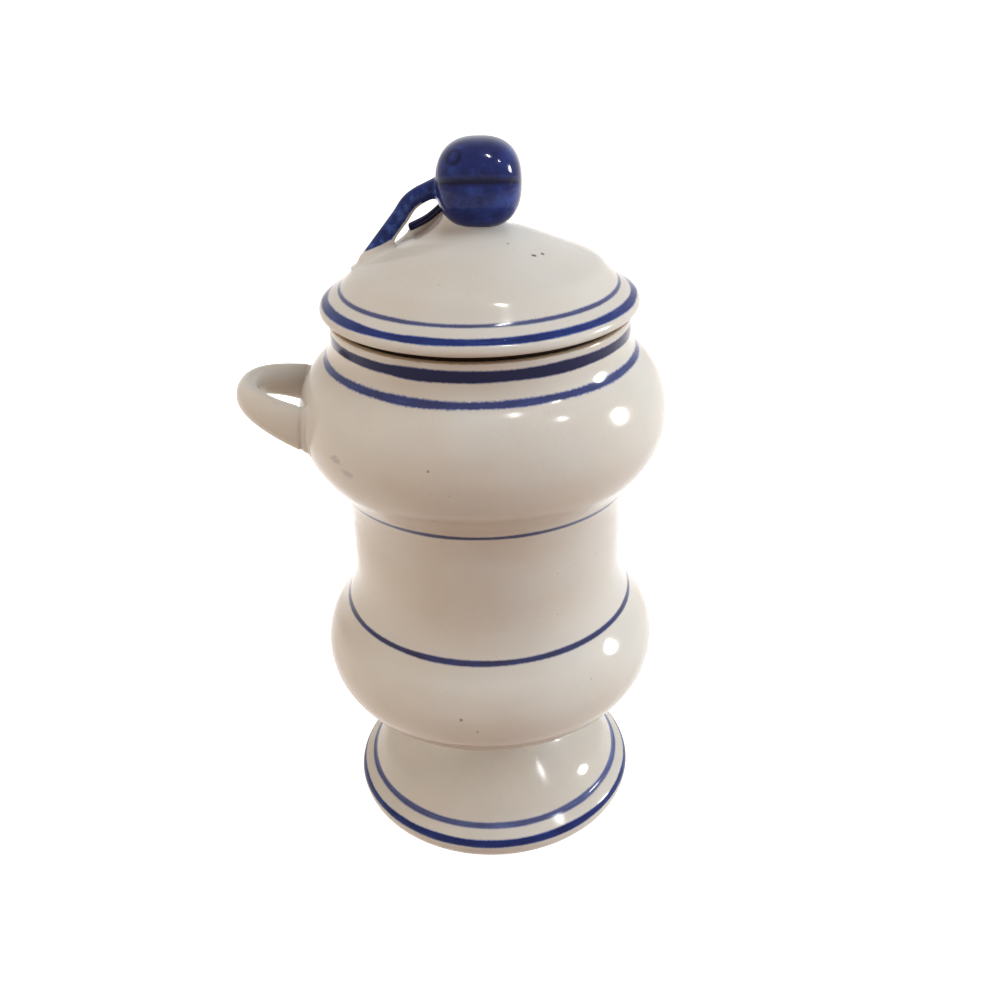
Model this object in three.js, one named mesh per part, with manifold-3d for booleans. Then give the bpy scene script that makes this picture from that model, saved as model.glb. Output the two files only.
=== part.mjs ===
// Canister jar of glazed earthenware: a hollow double-bulb body luted onto a spreading foot, one
// loop handle, and a domed lid whose knob is a fruit on its stem. Millimetres, +Z up. The jar
// stands on z = 0, and the origin is the centre of the whole object's underside, handle included.
import * as THREE from 'three';
import { mergeVertices } from 'three/addons/utils/BufferGeometryUtils.js';
import Module from 'manifold-3d';

const wasm = await Module();
wasm.setup();

// Gaps between pieces.
const lutingGap = 0.3;
const seatGap = 0.3;
const flangeClearance = 1.3;

// Foot: a hollow turned ogee, a cone that rounds over into a steeper skirt above the inner stripe
// and a rolled lip. It stands on an unglazed ring.
const footHeight = 48.3;
const footWall = 6;
const footLipRadius = 55.8;
const footLipHeight = 5.6;
const footLipRound = 4.3;
const footLipSole = 7;
const footRingWidth = 5;
const footRingLean = 1;
const footRingRise = 2;
const footRingRound = 3;
const footStripeRadius = 50.1;
const footStripeHeight = 12.1;
const footStripeRound = 3;
const footSkirtSlope = 54;
const footShoulderRadius = 45.1;
const footShoulderRound = 20;
const footConeSlope = 40;
const footNeckRadius = 29.3;
const footNeckFillet = 20;
const footSeatFlare = 3;

// Body: two bulbs with a straight waist between them and a short neck above.
const bodyWall = 4.7;
const lowerBulbRing = 40.6;
const lowerBulbRadius = 22.7;
const lowerBulbFillet = 35.5;
const waistRadius = 50;
const bulbSpacing = 94.6;
const upperBulbRing = 38.4;
const upperBulbRadius = 26.6;
const upperBulbFillet = 31;
const neckRadius = 51.6;
const neckFillet = 13;
const mouthAboveBulb = 35.1;
const mouthEdge = 1.2;

// Lid: a shallow cone with a round crown, a steeper shoulder, a sloping brim and a rolled rim
// whose underside hangs clear of the mouth, so that a dark slot shows round the neck.
const rimOverhang = 2.6;
const rimRadius = neckRadius + rimOverhang;
const rimBead = 2.7;
const rimLift = 0.8;
const seatInset = 2.2;
const seatOutside = neckRadius - seatInset;
const brimSlope = 33;
const coveInset = 7;
const coveRadius = rimRadius - coveInset;
const coveFillet = 8;
const riseSlope = 47;
const shoulderInset = 5.8;
const shoulderRadius = coveRadius - shoulderInset;
const shoulderFillet = 10;
const domeSlope = 23.3;
const crownRadius = 56;
const lidWall = 4.5;
const flangeDepth = 9;
const flangeThickness = 3.6;
const flangeEdge = 1.1;
const lidInnerFillet = 7;

// Knob: a fruit lying on its side, on a cream collar that climbs its stem end.
const fruitLength = 27.9;
const fruitHeight = 28.3;
const fruitSquareness = 2.5;
const fruitOffset = 1;
const fruitRise = 0.7;
const fruitTurn = -4;
const fruitFlat = 1.2;
const sutureDepth = 0.9;
const sutureWidth = 9;
const dimpleDepth = 1.1;
const dimpleRadius = 4;
const collarSink = 1;
const collarFootRadius = 12.5;
const collarFootAtStem = 16.8;
const collarTopRadius = 8.2;
const collarTopAtStem = 10.2;
const collarRise = 0.5;
const collarRiseAtStem = 9.5;
const collarNarrowness = 5;
const collarTurn = -25;

// Stem: leaves the dimple, arches over and dives into the dome. Rises are its centre line's.
const stemTurn = -4;
const stemRadius = 2.9;
const stemRootFlare = 3.4;
const stemRootLength = 5;
const stemRootRise = -2.05;
const stemArchReach = 21.2;
const stemArchRise = 8;
const stemKneeReach = 25.6;
const stemKneeRise = 2.5;
const stemLandReach = 36.8;
const stemLandDepth = 1.2;

// Tendril: a short cut twig that droops over the dome behind the stem's arch.
const tendrilRadius = 1.6;
const tendrilSag = 1;
const tendrilStart = { turn: -24, reach: 10.5, above: 7.6 };
const tendrilEnd = { turn: -22, reach: 24.2, above: 2.9 };

// Handle: one level loop on the left of the upper bulb, its end tipped up, luted a little askew.
const handleReach = 25.3;
const handleHalfWidth = 19.6;
const handleRootDepth = 7.6;
const handleTilt = 18.6;
const handlePivotDepth = 3.8;
const handleAboveBulb = 3.2;
const handleShift = -5.6;
const handleTurn = -2.2;
const handleRootHalfHeight = 8.2;
const handleTipHalfHeight = 5.1;
const handleRootHalfThickness = 4.2;
const handleTipHalfThickness = 3.9;
const handleNose = 1.13;
const handleSide = 0.87;

// Facet counts.
const sides = 44;
const knobSides = 32;
const tubeSides = 14;

// Heights that follow from the sizes above.
const floorHeight = footHeight + lutingGap;
const lowerBulbHeight = floorHeight + lowerBulbRadius;
const upperBulbHeight = lowerBulbHeight + bulbSpacing;
const mouthHeight = upperBulbHeight + mouthAboveBulb;
const lidSeatHeight = mouthHeight + seatGap;

const rad = THREE.MathUtils.degToRad;
const deg = THREE.MathUtils.radToDeg;
const point = (x, z) => new THREE.Vector2(x, z);

// Points of a circular arc in the profile plane, angles in degrees, both ends included.
function arc(x, z, radius, from, to, steps) {
  const points = [];
  for (let i = 0; i <= steps; i++) {
    const angle = rad(from + ((to - from) * i) / steps);
    points.push(point(x + radius * Math.cos(angle), z + radius * Math.sin(angle)));
  }
  return points;
}

// The arc that rounds the corner between the legs before -> corner -> after.
function roundCorner(before, corner, after, radius, steps) {
  const back = before.clone().sub(corner).normalize();
  const on = after.clone().sub(corner).normalize();
  const half = Math.acos(THREE.MathUtils.clamp(back.dot(on), -1, 1)) / 2;
  const leg = Math.min(
    radius / Math.tan(half),
    0.49 * before.distanceTo(corner),
    0.49 * after.distanceTo(corner),
  );
  const round = leg * Math.tan(half);
  const middle = back.clone().add(on).normalize();
  const centre = corner.clone().addScaledVector(middle, round / Math.sin(half));
  const start = corner.clone().addScaledVector(back, leg).sub(centre);
  const end = corner.clone().addScaledVector(on, leg).sub(centre);
  const from = deg(start.angle());
  let turn = deg(end.angle()) - from;
  turn = ((((turn + 180) % 360) + 360) % 360) - 180;
  return arc(centre.x, centre.y, round, from, from + turn, steps);
}

// A closed, welded mesh with its faces pointing out.
function weld(geometry) {
  geometry.deleteAttribute('normal');
  geometry.deleteAttribute('uv');
  const merged = mergeVertices(geometry, 1e-4);
  const position = merged.getAttribute('position');
  const corners = [0, 1, 2].map(() => new THREE.Vector3());
  const kept = [];
  let volume = 0;
  for (let i = 0; i < merged.index.count; i += 3) {
    const ids = [0, 1, 2].map((k) => merged.index.getX(i + k));
    if (new Set(ids).size === 3) {
      ids.forEach((id, k) => corners[k].fromBufferAttribute(position, id));
      volume += corners[0].dot(corners[1].clone().cross(corners[2]));
      kept.push(ids);
    }
  }
  merged.setIndex(kept.flatMap((ids) => (volume < 0 ? ids.reverse() : ids)));
  return merged;
}

// A solid of revolution about Z. The profile starts and ends on the axis or closes on itself.
function revolve(profile, segments = sides) {
  const lathe = new THREE.LatheGeometry(profile, segments);
  lathe.rotateX(Math.PI / 2);
  return weld(lathe);
}

// A closed skin through rings of equally many points, each end closed by a fan of faces.
function loft(rings) {
  const around = rings[0].length;
  const vertices = rings.flat();
  const faces = [];
  for (let i = 0; i + 1 < rings.length; i++) {
    for (let j = 0; j < around; j++) {
      const a = i * around + j;
      const b = i * around + ((j + 1) % around);
      faces.push(a, b, b + around, a, b + around, a + around);
    }
  }
  const closeEnd = (ring, first, turned) => {
    const centre = new THREE.Vector3();
    ring.forEach((v) => centre.addScaledVector(v, 1 / around));
    const hub = vertices.push(centre) - 1;
    for (let j = 0; j < around; j++) {
      const a = first + j;
      const b = first + ((j + 1) % around);
      faces.push(...(turned ? [b, a, hub] : [a, b, hub]));
    }
  };
  closeEnd(rings[0], 0, true);
  closeEnd(rings.at(-1), (rings.length - 1) * around, false);
  const geometry = new THREE.BufferGeometry();
  const flat = vertices.flatMap((v) => [v.x, v.y, v.z]);
  geometry.setAttribute('position', new THREE.Float32BufferAttribute(flat, 3));
  geometry.setIndex(faces);
  return weld(geometry);
}

function toSolid(geometry) {
  const vertProperties = new Float32Array(geometry.getAttribute('position').array);
  const triVerts = new Uint32Array(geometry.index.array);
  return new wasm.Manifold(new wasm.Mesh({ numProp: 3, vertProperties, triVerts }));
}

function toGeometry(solid) {
  const { vertProperties, triVerts } = solid.getMesh();
  const geometry = new THREE.BufferGeometry();
  geometry.setAttribute('position', new THREE.BufferAttribute(new Float32Array(vertProperties), 3));
  geometry.setIndex(new THREE.BufferAttribute(new Uint32Array(triVerts), 1));
  return geometry;
}

// What is left of a piece when the pieces that it is luted to are taken away.
function cutBy(geometry, ...tools) {
  let solid = toSolid(geometry);
  tools.forEach((tool) => {
    solid = solid.subtract(toSolid(tool));
  });
  return toGeometry(solid);
}

// The fillet that carries a bulb over into a straight stretch at the given radius: the height of
// its centre above or below the bulb's, and the angle at which it leaves the bulb.
function bulbFillet(ring, bulb, straight, fillet) {
  const across = straight + fillet - ring;
  const rise = Math.sqrt((bulb + fillet) ** 2 - across ** 2);
  return { rise, angle: deg(Math.atan2(rise, across)), centre: straight + fillet };
}

// The body's line at a depth below its glazed face, from the floor's edge up to the mouth.
function bodyLine(depth, fine) {
  const low = bulbFillet(lowerBulbRing, lowerBulbRadius, waistRadius, lowerBulbFillet);
  const high = bulbFillet(upperBulbRing, upperBulbRadius, waistRadius, upperBulbFillet);
  const neck = bulbFillet(upperBulbRing, upperBulbRadius, neckRadius, neckFillet);
  const lowTop = lowerBulbHeight + low.rise;
  const highFoot = upperBulbHeight - high.rise;
  const neckFoot = upperBulbHeight + neck.rise;
  const lowRound = lowerBulbFillet + depth;
  const highRound = upperBulbFillet + depth;
  const neckRound = neckFillet + depth;
  const lowBulb = lowerBulbRadius - depth;
  const highBulb = upperBulbRadius - depth;
  return [
    ...arc(lowerBulbRing, lowerBulbHeight, lowBulb, -90, low.angle, fine ? 10 : 6),
    ...arc(low.centre, lowTop, lowRound, low.angle + 180, 180, fine ? 4 : 2).slice(1),
    ...arc(high.centre, highFoot, highRound, 180, 180 - high.angle, fine ? 4 : 2),
    ...arc(upperBulbRing, upperBulbHeight, highBulb, -high.angle, neck.angle, fine ? 9 : 5).slice(1),
    ...arc(neck.centre, neckFoot, neckRound, neck.angle + 180, 180, fine ? 4 : 2).slice(1),
  ];
}

// The body: outer line up, over the rounded mouth, inner line down to the floor.
function bodyGeometry() {
  const outer = neckRadius;
  const inner = neckRadius - bodyWall;
  return revolve([
    point(0, floorHeight),
    ...bodyLine(0, true),
    ...arc(outer - mouthEdge, mouthHeight - mouthEdge, mouthEdge, 0, 90, 2),
    ...arc(inner + mouthEdge, mouthHeight - mouthEdge, mouthEdge, 90, 180, 2),
    ...bodyLine(bodyWall, false).reverse(),
    point(0, floorHeight + bodyWall),
  ]);
}

// The body's outer form, swollen by the luting gap, with which the handle's roots are cut.
function bodyCutter() {
  return revolve([
    point(0, floorHeight),
    ...bodyLine(-lutingGap, true),
    point(neckRadius + lutingGap, mouthHeight),
    point(0, mouthHeight),
  ]);
}

// The height of the foot's cone at a radius, as if it had no skirt or neck.
function footConeAt(radius) {
  const skirt = (footStripeRadius - footShoulderRadius) * Math.tan(rad(footSkirtSlope));
  const cone = (footShoulderRadius - radius) * Math.tan(rad(footConeSlope));
  return footStripeHeight + skirt + cone;
}

// The foot's outer line, from the standing ring up to the seat under the body.
function footLine() {
  const soleDrop = deg(Math.asin(Math.min(1, footLipHeight / footLipSole)));
  const sole = arc(footLipRadius - footLipSole, footLipHeight, footLipSole, -soleDrop, 0, 3);
  const stripe = point(footStripeRadius, footStripeHeight);
  const lipCentre = point(footLipRadius - footLipRound, footLipHeight);
  const toStripe = stripe.clone().sub(lipCentre);
  const touching = deg(toStripe.angle() - Math.acos(Math.min(1, footLipRound / toStripe.length())));
  const lip = arc(lipCentre.x, lipCentre.y, footLipRound, 0, touching, 4);
  const shoulder = point(footShoulderRadius, footConeAt(footShoulderRadius));
  const coneTop = point(footNeckRadius, footConeAt(footNeckRadius));
  const flareHeight = footHeight - footSeatFlare;
  const flareCentre = footNeckRadius + footSeatFlare;
  const flareStop = 105;
  const flare = arc(flareCentre, flareHeight, footSeatFlare, 180, flareStop, 3);
  return [
    ...sole,
    ...lip.slice(1),
    ...roundCorner(lip.at(-1), stripe, shoulder, footStripeRound, 1),
    ...roundCorner(stripe, shoulder, coneTop, footShoulderRound, 2),
    ...roundCorner(shoulder, coneTop, flare[0], footNeckFillet, 4),
    ...flare,
    point(flare.at(-1).x, footHeight),
  ];
}

// The foot is open below and above: the body's floor closes it.
function footGeometry() {
  const outer = footLine();
  const inside = footNeckRadius - footWall;
  const ringInside = outer[0].x - footRingWidth;
  const ringEdge = point(ringInside, 0);
  const coneDrop = footWall / Math.cos(rad(footConeSlope));
  const hollowEdge = ringInside - footRingLean;
  const hollowHeight = Math.max(footConeAt(hollowEdge) - coneDrop, footRingRise);
  const hollowFoot = point(hollowEdge, hollowHeight);
  const hollowTop = point(inside, footConeAt(inside) - coneDrop);
  const seatInside = point(inside, footHeight);
  return revolve([
    ...outer,
    seatInside,
    ...roundCorner(seatInside, hollowTop, hollowFoot, footNeckFillet, 3),
    ...roundCorner(hollowTop, hollowFoot, ringEdge, footRingRound, 2),
    ringEdge,
    outer[0],
  ]);
}

// The handle: a loop of clay in a level plane, deeper at its roots than at its end. The angle
// runs from -90 at the near root over 0 at the end to 90 at the far root.
function handleGeometry() {
  const stations = 28;
  const bulb = upperBulbRing + upperBulbRadius;
  const rootX = bulb - handleRootDepth;
  const pivotX = bulb - handlePivotDepth;
  const along = (angle) => {
    const reach = handleReach * Math.abs(Math.cos(angle)) ** handleNose;
    const side = Math.sign(Math.sin(angle)) * Math.abs(Math.sin(angle)) ** handleSide;
    return new THREE.Vector3(-(rootX + reach), handleHalfWidth * side, 0);
  };
  const rings = [];
  for (let i = 0; i <= stations; i++) {
    const angle = rad(-90 + (180 * i) / stations);
    const centre = along(angle);
    const step = 0.02;
    const tangent = along(Math.min(angle + step, Math.PI / 2));
    tangent.sub(along(Math.max(angle - step, -Math.PI / 2))).normalize();
    const across = new THREE.Vector3(-tangent.y, tangent.x, 0);
    const end = Math.cos(angle);
    const height = THREE.MathUtils.lerp(handleRootHalfHeight, handleTipHalfHeight, end);
    const thickness = THREE.MathUtils.lerp(handleRootHalfThickness, handleTipHalfThickness, end);
    const ring = [];
    for (let j = 0; j < tubeSides; j++) {
      const turn = (2 * Math.PI * j) / tubeSides;
      const vertex = centre.clone().addScaledVector(across, thickness * Math.cos(turn));
      vertex.z += height * Math.sin(turn);
      ring.push(vertex);
    }
    rings.push(ring);
  }
  const loop = loft(rings);
  loop.translate(pivotX, 0, 0);
  loop.rotateY(rad(handleTilt));
  loop.translate(-pivotX, 0, 0);
  loop.rotateZ(rad(handleTurn));
  loop.translate(0, handleShift, upperBulbHeight + handleAboveBulb);
  return cutBy(loop, bodyCutter());
}

// The lid's corners and heights, worked out from the rim inwards.
function lidShape() {
  const beadCentre = point(rimRadius - rimBead, lidSeatHeight + rimLift + rimBead);
  const brimEnd = arc(beadCentre.x, beadCentre.y, rimBead, 90 - brimSlope, 0, 1)[0];
  const cove = point(coveRadius, brimEnd.y + (brimEnd.x - coveRadius) * Math.tan(rad(brimSlope)));
  const rise = (coveRadius - shoulderRadius) * Math.tan(rad(riseSlope));
  const shoulder = point(shoulderRadius, cove.y + rise);
  const coneTip = shoulder.y + shoulderRadius * Math.tan(rad(domeSlope));
  const crownCentre = coneTip - crownRadius / Math.cos(rad(domeSlope));
  return { beadCentre, brimEnd, cove, shoulder, coneTip, crownCentre };
}

// The lid's outer line, from the crown on the axis to the rim's underside, swollen by an offset.
function lidLine(offset = 0) {
  const { beadCentre, brimEnd, cove, shoulder, crownCentre } = lidShape();
  const crown = arc(0, crownCentre, crownRadius + offset, 90, 90 - domeSlope, 4);
  const outwards = (corner, before, after) => {
    const middle = rad(90 - (before + after) / 2);
    const reach = offset / Math.cos(rad((after - before) / 2));
    return point(corner.x + reach * Math.cos(middle), corner.y + reach * Math.sin(middle));
  };
  const shoulderOut = outwards(shoulder, domeSlope, riseSlope);
  const coveOut = outwards(cove, riseSlope, brimSlope);
  const brimOut = outwards(brimEnd, brimSlope, brimSlope);
  return [
    ...crown,
    ...roundCorner(crown.at(-1), shoulderOut, coveOut, shoulderFillet, 3),
    ...roundCorner(shoulderOut, coveOut, brimOut, coveFillet, 2),
    ...arc(beadCentre.x, beadCentre.y, rimBead + offset, 90 - brimSlope, -90, 7),
  ];
}

// The lid: outer line, level seat, flange that drops into the mouth, and the hollow below.
function lidGeometry() {
  const { coneTip, crownCentre } = lidShape();
  const flangeOutside = neckRadius - bodyWall - flangeClearance;
  const flangeInside = flangeOutside - flangeThickness;
  const flangeFoot = lidSeatHeight - flangeDepth;
  const innerTip = coneTip - lidWall / Math.cos(rad(domeSlope));
  const innerCorner = point(flangeInside, innerTip - flangeInside * Math.tan(rad(domeSlope)));
  const innerCrown = arc(0, crownCentre, crownRadius - lidWall, 90 - domeSlope, 90, 3);
  const flangeMiddle = flangeFoot + flangeEdge;
  return revolve([
    ...lidLine(),
    point(seatOutside, lidSeatHeight + rimLift),
    point(seatOutside, lidSeatHeight),
    point(flangeOutside, lidSeatHeight),
    ...arc(flangeOutside - flangeEdge, flangeMiddle, flangeEdge, 0, -90, 2),
    ...arc(flangeInside + flangeEdge, flangeMiddle, flangeEdge, -90, -180, 2),
    ...roundCorner(point(flangeInside, flangeMiddle), innerCorner, innerCrown[0], lidInnerFillet, 4),
    ...innerCrown,
  ]);
}

// Everything under the lid's outer face, swollen by the luting gap, with which the knob is cut.
function lidCutter() {
  const line = lidLine(lutingGap);
  return revolve([...line, point(0, line.at(-1).y)]);
}

// The height of the lid's outer face above z = 0 at a distance from the axis.
function domeHeight(reach) {
  const { coneTip, crownCentre } = lidShape();
  const crownEnd = crownRadius * Math.sin(rad(domeSlope));
  const onCrown = crownCentre + Math.sqrt(Math.max(crownRadius ** 2 - reach ** 2, 0));
  return reach < crownEnd ? onCrown : coneTip - reach * Math.tan(rad(domeSlope));
}

const fruitFoot = domeHeight(0) + fruitRise;
const fruitMiddle = fruitFoot - fruitFlat + fruitHeight / 2;

// The fruit: a squarish egg about its own level axis, with a dimple where the stem enters and a
// suture along its front. The bottom is pressed flat on the collar.
function fruitForm(swell) {
  const stations = 18;
  const rings = [];
  for (let i = 1; i < stations; i++) {
    const along = Math.PI * (i / stations);
    const power = 2 / fruitSquareness;
    const reach = Math.sign(Math.cos(along)) * Math.abs(Math.cos(along)) ** power;
    const girth = (fruitHeight / 2 + swell) * Math.sin(along) ** power;
    const ring = [];
    for (let j = 0; j < knobSides; j++) {
      const turn = (2 * Math.PI * j) / knobSides;
      const fromFront = deg(Math.abs(Math.atan2(Math.sin(turn), Math.cos(turn))));
      const groove = sutureDepth * Math.exp(-((fromFront / sutureWidth) ** 2)) * Math.sin(along);
      const radius = girth - groove;
      const dimple = reach < 0 ? dimpleDepth * Math.exp(-((radius / dimpleRadius) ** 2)) : 0;
      const x = reach * (fruitLength / 2 + swell) + dimple;
      const y = Math.sign(Math.cos(turn)) * Math.abs(Math.cos(turn)) ** power;
      const z = Math.sign(Math.sin(turn)) * Math.abs(Math.sin(turn)) ** power;
      ring.push(new THREE.Vector3(x, -radius * y, radius * z));
    }
    rings.push(ring);
  }
  const form = loft(rings);
  form.translate(fruitOffset, 0, fruitMiddle);
  form.rotateZ(rad(fruitTurn));
  return form;
}

// A slab below a level, as wide as the fruit, that presses its bottom flat.
function slabBelow(level) {
  const slab = new THREE.BoxGeometry(2 * fruitLength, 2 * fruitLength, fruitHeight);
  slab.translate(0, 0, level - fruitHeight / 2);
  return weld(slab);
}

function fruitGeometry() {
  return cutBy(fruitForm(0), slabBelow(fruitFoot));
}

// The fruit's form with the luting gap round it and under its flat.
function fruitCutter() {
  return cutBy(fruitForm(lutingGap), slabBelow(fruitFoot - lutingGap));
}

// The collar's form: a flared pad of clay, low under the fruit and drawn wide and high where the
// tendril leaves it. Its top ends inside the fruit. The form is swollen by an offset.
function collarForm(swell) {
  const levels = 8;
  const { lerp } = THREE.MathUtils;
  const rings = [];
  for (let i = 0; i <= levels; i++) {
    const share = i / levels;
    const flare = 1 - (1 - share) ** 2;
    const ring = [];
    for (let j = 0; j < knobSides; j++) {
      const turn = (2 * Math.PI * j) / knobSides;
      const atStem = ((1 - Math.cos(turn)) / 2) ** collarNarrowness;
      const footRadius = lerp(collarFootRadius, collarFootAtStem, atStem);
      const topRadius = lerp(collarTopRadius, collarTopAtStem, atStem);
      const foot = domeHeight(footRadius) - collarSink;
      const top = fruitFoot + lerp(collarRise, collarRiseAtStem, atStem);
      const radius = lerp(footRadius, topRadius, flare) + swell;
      const height = lerp(foot, top, share);
      ring.push(new THREE.Vector3(radius * Math.cos(turn), radius * Math.sin(turn), height));
    }
    rings.push(ring);
  }
  const form = loft(rings);
  form.rotateZ(rad(collarTurn));
  return form;
}

function collarGeometry() {
  return cutBy(collarForm(0), lidCutter(), fruitCutter());
}

// A round tube through points, its start widened by a flare that dies out over a fifth of it.
function tube(points, radius, stations, flare = 0) {
  const curve = new THREE.CatmullRomCurve3(points, false, 'centripetal');
  const side = new THREE.Vector3(0, 1, 0);
  const rings = [];
  for (let i = 0; i <= stations; i++) {
    const share = i / stations;
    const centre = curve.getPointAt(share);
    const tangent = curve.getTangentAt(share);
    const up = side.clone().cross(tangent).normalize();
    const across = tangent.clone().cross(up);
    const reach = radius + flare * Math.max(0, 1 - 5 * share) ** 2;
    const ring = [];
    for (let j = 0; j < tubeSides; j++) {
      const turn = (2 * Math.PI * j) / tubeSides;
      const vertex = centre.clone().addScaledVector(across, reach * Math.cos(turn));
      ring.push(vertex.addScaledVector(up, reach * Math.sin(turn)));
    }
    rings.push(ring);
  }
  return loft(rings);
}

// The stem starts inside the fruit, arches and ends inside the dome.
function stemGeometry() {
  const start = fruitLength / 2 - fruitOffset - dimpleDepth - stemRadius;
  const rootHeight = fruitMiddle + stemRootRise;
  const crown = domeHeight(0);
  const land = domeHeight(stemLandReach) - stemLandDepth;
  const points = [
    new THREE.Vector3(-start, 0, rootHeight),
    new THREE.Vector3(-(start + stemRootLength), 0, rootHeight),
    new THREE.Vector3(-stemArchReach, 0, crown + stemArchRise),
    new THREE.Vector3(-stemKneeReach, 0, crown + stemKneeRise),
    new THREE.Vector3(-stemLandReach, 0, land),
  ];
  const arch = tube(points, stemRadius, 24, stemRootFlare);
  arch.rotateZ(rad(stemTurn));
  return cutBy(arch, lidCutter(), fruitCutter());
}

// The tendril's ends are given by their turn from -X, distance from the axis and height over
// the dome.
function tendrilGeometry() {
  const place = ({ turn, reach, above }) => {
    const angle = Math.PI + rad(turn);
    const height = domeHeight(reach) + above;
    return new THREE.Vector3(reach * Math.cos(angle), reach * Math.sin(angle), height);
  };
  const from = place(tendrilStart);
  const to = place(tendrilEnd);
  const middle = from.clone().lerp(to, 0.5);
  middle.z -= tendrilSag;
  const twig = tube([from, middle, to], tendrilRadius, 6);
  return cutBy(twig, lidCutter(), fruitCutter(), collarForm(lutingGap));
}

const creamGlaze = () => new THREE.MeshStandardMaterial({
  color: 0xd9cfb9,
  roughness: 0.22,
  metalness: 0,
});
const cobaltGlaze = () => new THREE.MeshStandardMaterial({
  color: 0x26337d,
  roughness: 0.16,
  metalness: 0,
});

const jar = new THREE.Group();
function add(name, geometry, material) {
  geometry.computeVertexNormals();
  const mesh = new THREE.Mesh(geometry, material);
  mesh.name = name;
  jar.add(mesh);
  return mesh;
}

add('jar_body', bodyGeometry(), creamGlaze());
add('foot', footGeometry(), creamGlaze());
const handle = add('handle', handleGeometry(), creamGlaze());
add('lid', lidGeometry(), creamGlaze());
add('knob_collar', collarGeometry(), creamGlaze());
add('knob_fruit', fruitGeometry(), cobaltGlaze());
add('stem', stemGeometry(), cobaltGlaze());
add('tendril', tendrilGeometry(), cobaltGlaze());

// The jar's axis stands off the origin by half of what the handle adds to one side.
handle.geometry.computeBoundingBox();
const widest = Math.max(upperBulbRing + upperBulbRadius, lowerBulbRing + lowerBulbRadius);
jar.position.x = -(handle.geometry.boundingBox.min.x + widest) / 2;

export default jar;
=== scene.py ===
"""Cream earthenware canister jar with brushed cobalt bands, dressed round its fixed frame.

The lengths in the dataclasses are millimetres, with heights measured from the surface that the
jar stands on and radii from the jar's own axis. Blender gets metres.
"""
import logging
import math
from dataclasses import dataclass, field
from enum import Enum
from typing import Callable, Optional, Union

import bpy
import numpy as np
from mathutils import Matrix, Vector


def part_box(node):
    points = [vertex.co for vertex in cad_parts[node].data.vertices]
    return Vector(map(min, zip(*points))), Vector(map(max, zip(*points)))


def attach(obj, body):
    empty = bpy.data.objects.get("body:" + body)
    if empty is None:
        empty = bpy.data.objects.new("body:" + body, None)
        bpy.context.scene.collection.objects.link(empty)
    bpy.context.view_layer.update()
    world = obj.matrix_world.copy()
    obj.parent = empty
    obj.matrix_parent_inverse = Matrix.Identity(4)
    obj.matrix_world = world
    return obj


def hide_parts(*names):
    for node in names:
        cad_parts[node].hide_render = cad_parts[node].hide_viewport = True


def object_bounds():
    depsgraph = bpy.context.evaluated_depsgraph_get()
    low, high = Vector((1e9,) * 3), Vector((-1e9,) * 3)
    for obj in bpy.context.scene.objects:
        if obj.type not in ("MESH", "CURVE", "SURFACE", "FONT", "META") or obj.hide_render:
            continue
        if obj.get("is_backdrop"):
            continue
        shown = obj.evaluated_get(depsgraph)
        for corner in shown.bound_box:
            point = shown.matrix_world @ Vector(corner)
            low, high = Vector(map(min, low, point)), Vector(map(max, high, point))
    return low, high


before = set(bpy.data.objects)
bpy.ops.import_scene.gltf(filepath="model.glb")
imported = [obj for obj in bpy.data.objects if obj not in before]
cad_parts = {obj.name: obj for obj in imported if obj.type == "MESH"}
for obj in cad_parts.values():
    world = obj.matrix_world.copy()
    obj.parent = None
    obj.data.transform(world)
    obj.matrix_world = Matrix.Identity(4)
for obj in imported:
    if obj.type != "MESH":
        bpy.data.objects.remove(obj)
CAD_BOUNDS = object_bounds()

LOG = logging.getLogger("canister_jar")
MM = 0.001
JAR_BODY = "jar"
LID_BODY = "lid"

Field = Callable[[np.ndarray], np.ndarray]
Socket = bpy.types.NodeSocket
Node = bpy.types.Node
Tree = bpy.types.NodeTree
Piece = bpy.types.Object
Value = Union[float, Socket]
Spot = tuple[float, float, float]
Rgba = tuple[float, float, float, float]
WHITE: Rgba = (1.0, 1.0, 1.0, 1.0)
DAYLIGHT: Spot = (0.865, 0.962, 1.0)
SOFT: tuple[float, float] = (0.9, 0.9)


def axis_offset() -> float:
    """How far the jar's own axis stands from the origin along X, in millimetres."""
    low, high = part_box("jar_body")
    return (low[0] + high[0]) / 2 / MM


AXIS_X = axis_offset()


def srgb(red: float, green: float, blue: float) -> Rgba:
    """Turn a display colour of 0 to 255 into a linear colour with alpha.

    Args:
        red: Red level.
        green: Green level.
        blue: Blue level.

    Returns:
        The linear red, green, blue and an alpha of 1.
    """
    def linear(level: float) -> float:
        """One channel from display level to linear light."""
        share = level / 255
        return share / 12.92 if share <= 0.04045 else ((share + 0.055) / 1.055) ** 2.4

    return (linear(red), linear(green), linear(blue), 1.0)


# Outlines in the plane of radius and height.


def arc(
    radius_at: float, height_at: float, radius: float, start: float, stop: float, steps: int
) -> np.ndarray:
    """Points on a circular arc.

    Args:
        radius_at: Radius of the arc's centre from the axis.
        height_at: Height of the arc's centre.
        radius: The arc's own radius.
        start: First angle in degrees, from outwards towards up.
        stop: Last angle in degrees.
        steps: Number of steps.

    Returns:
        An array of steps + 1 points, both ends included.
    """
    angles = np.radians(np.linspace(start, stop, steps + 1))
    return np.column_stack(
        (radius_at + radius * np.cos(angles), height_at + radius * np.sin(angles))
    )


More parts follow.
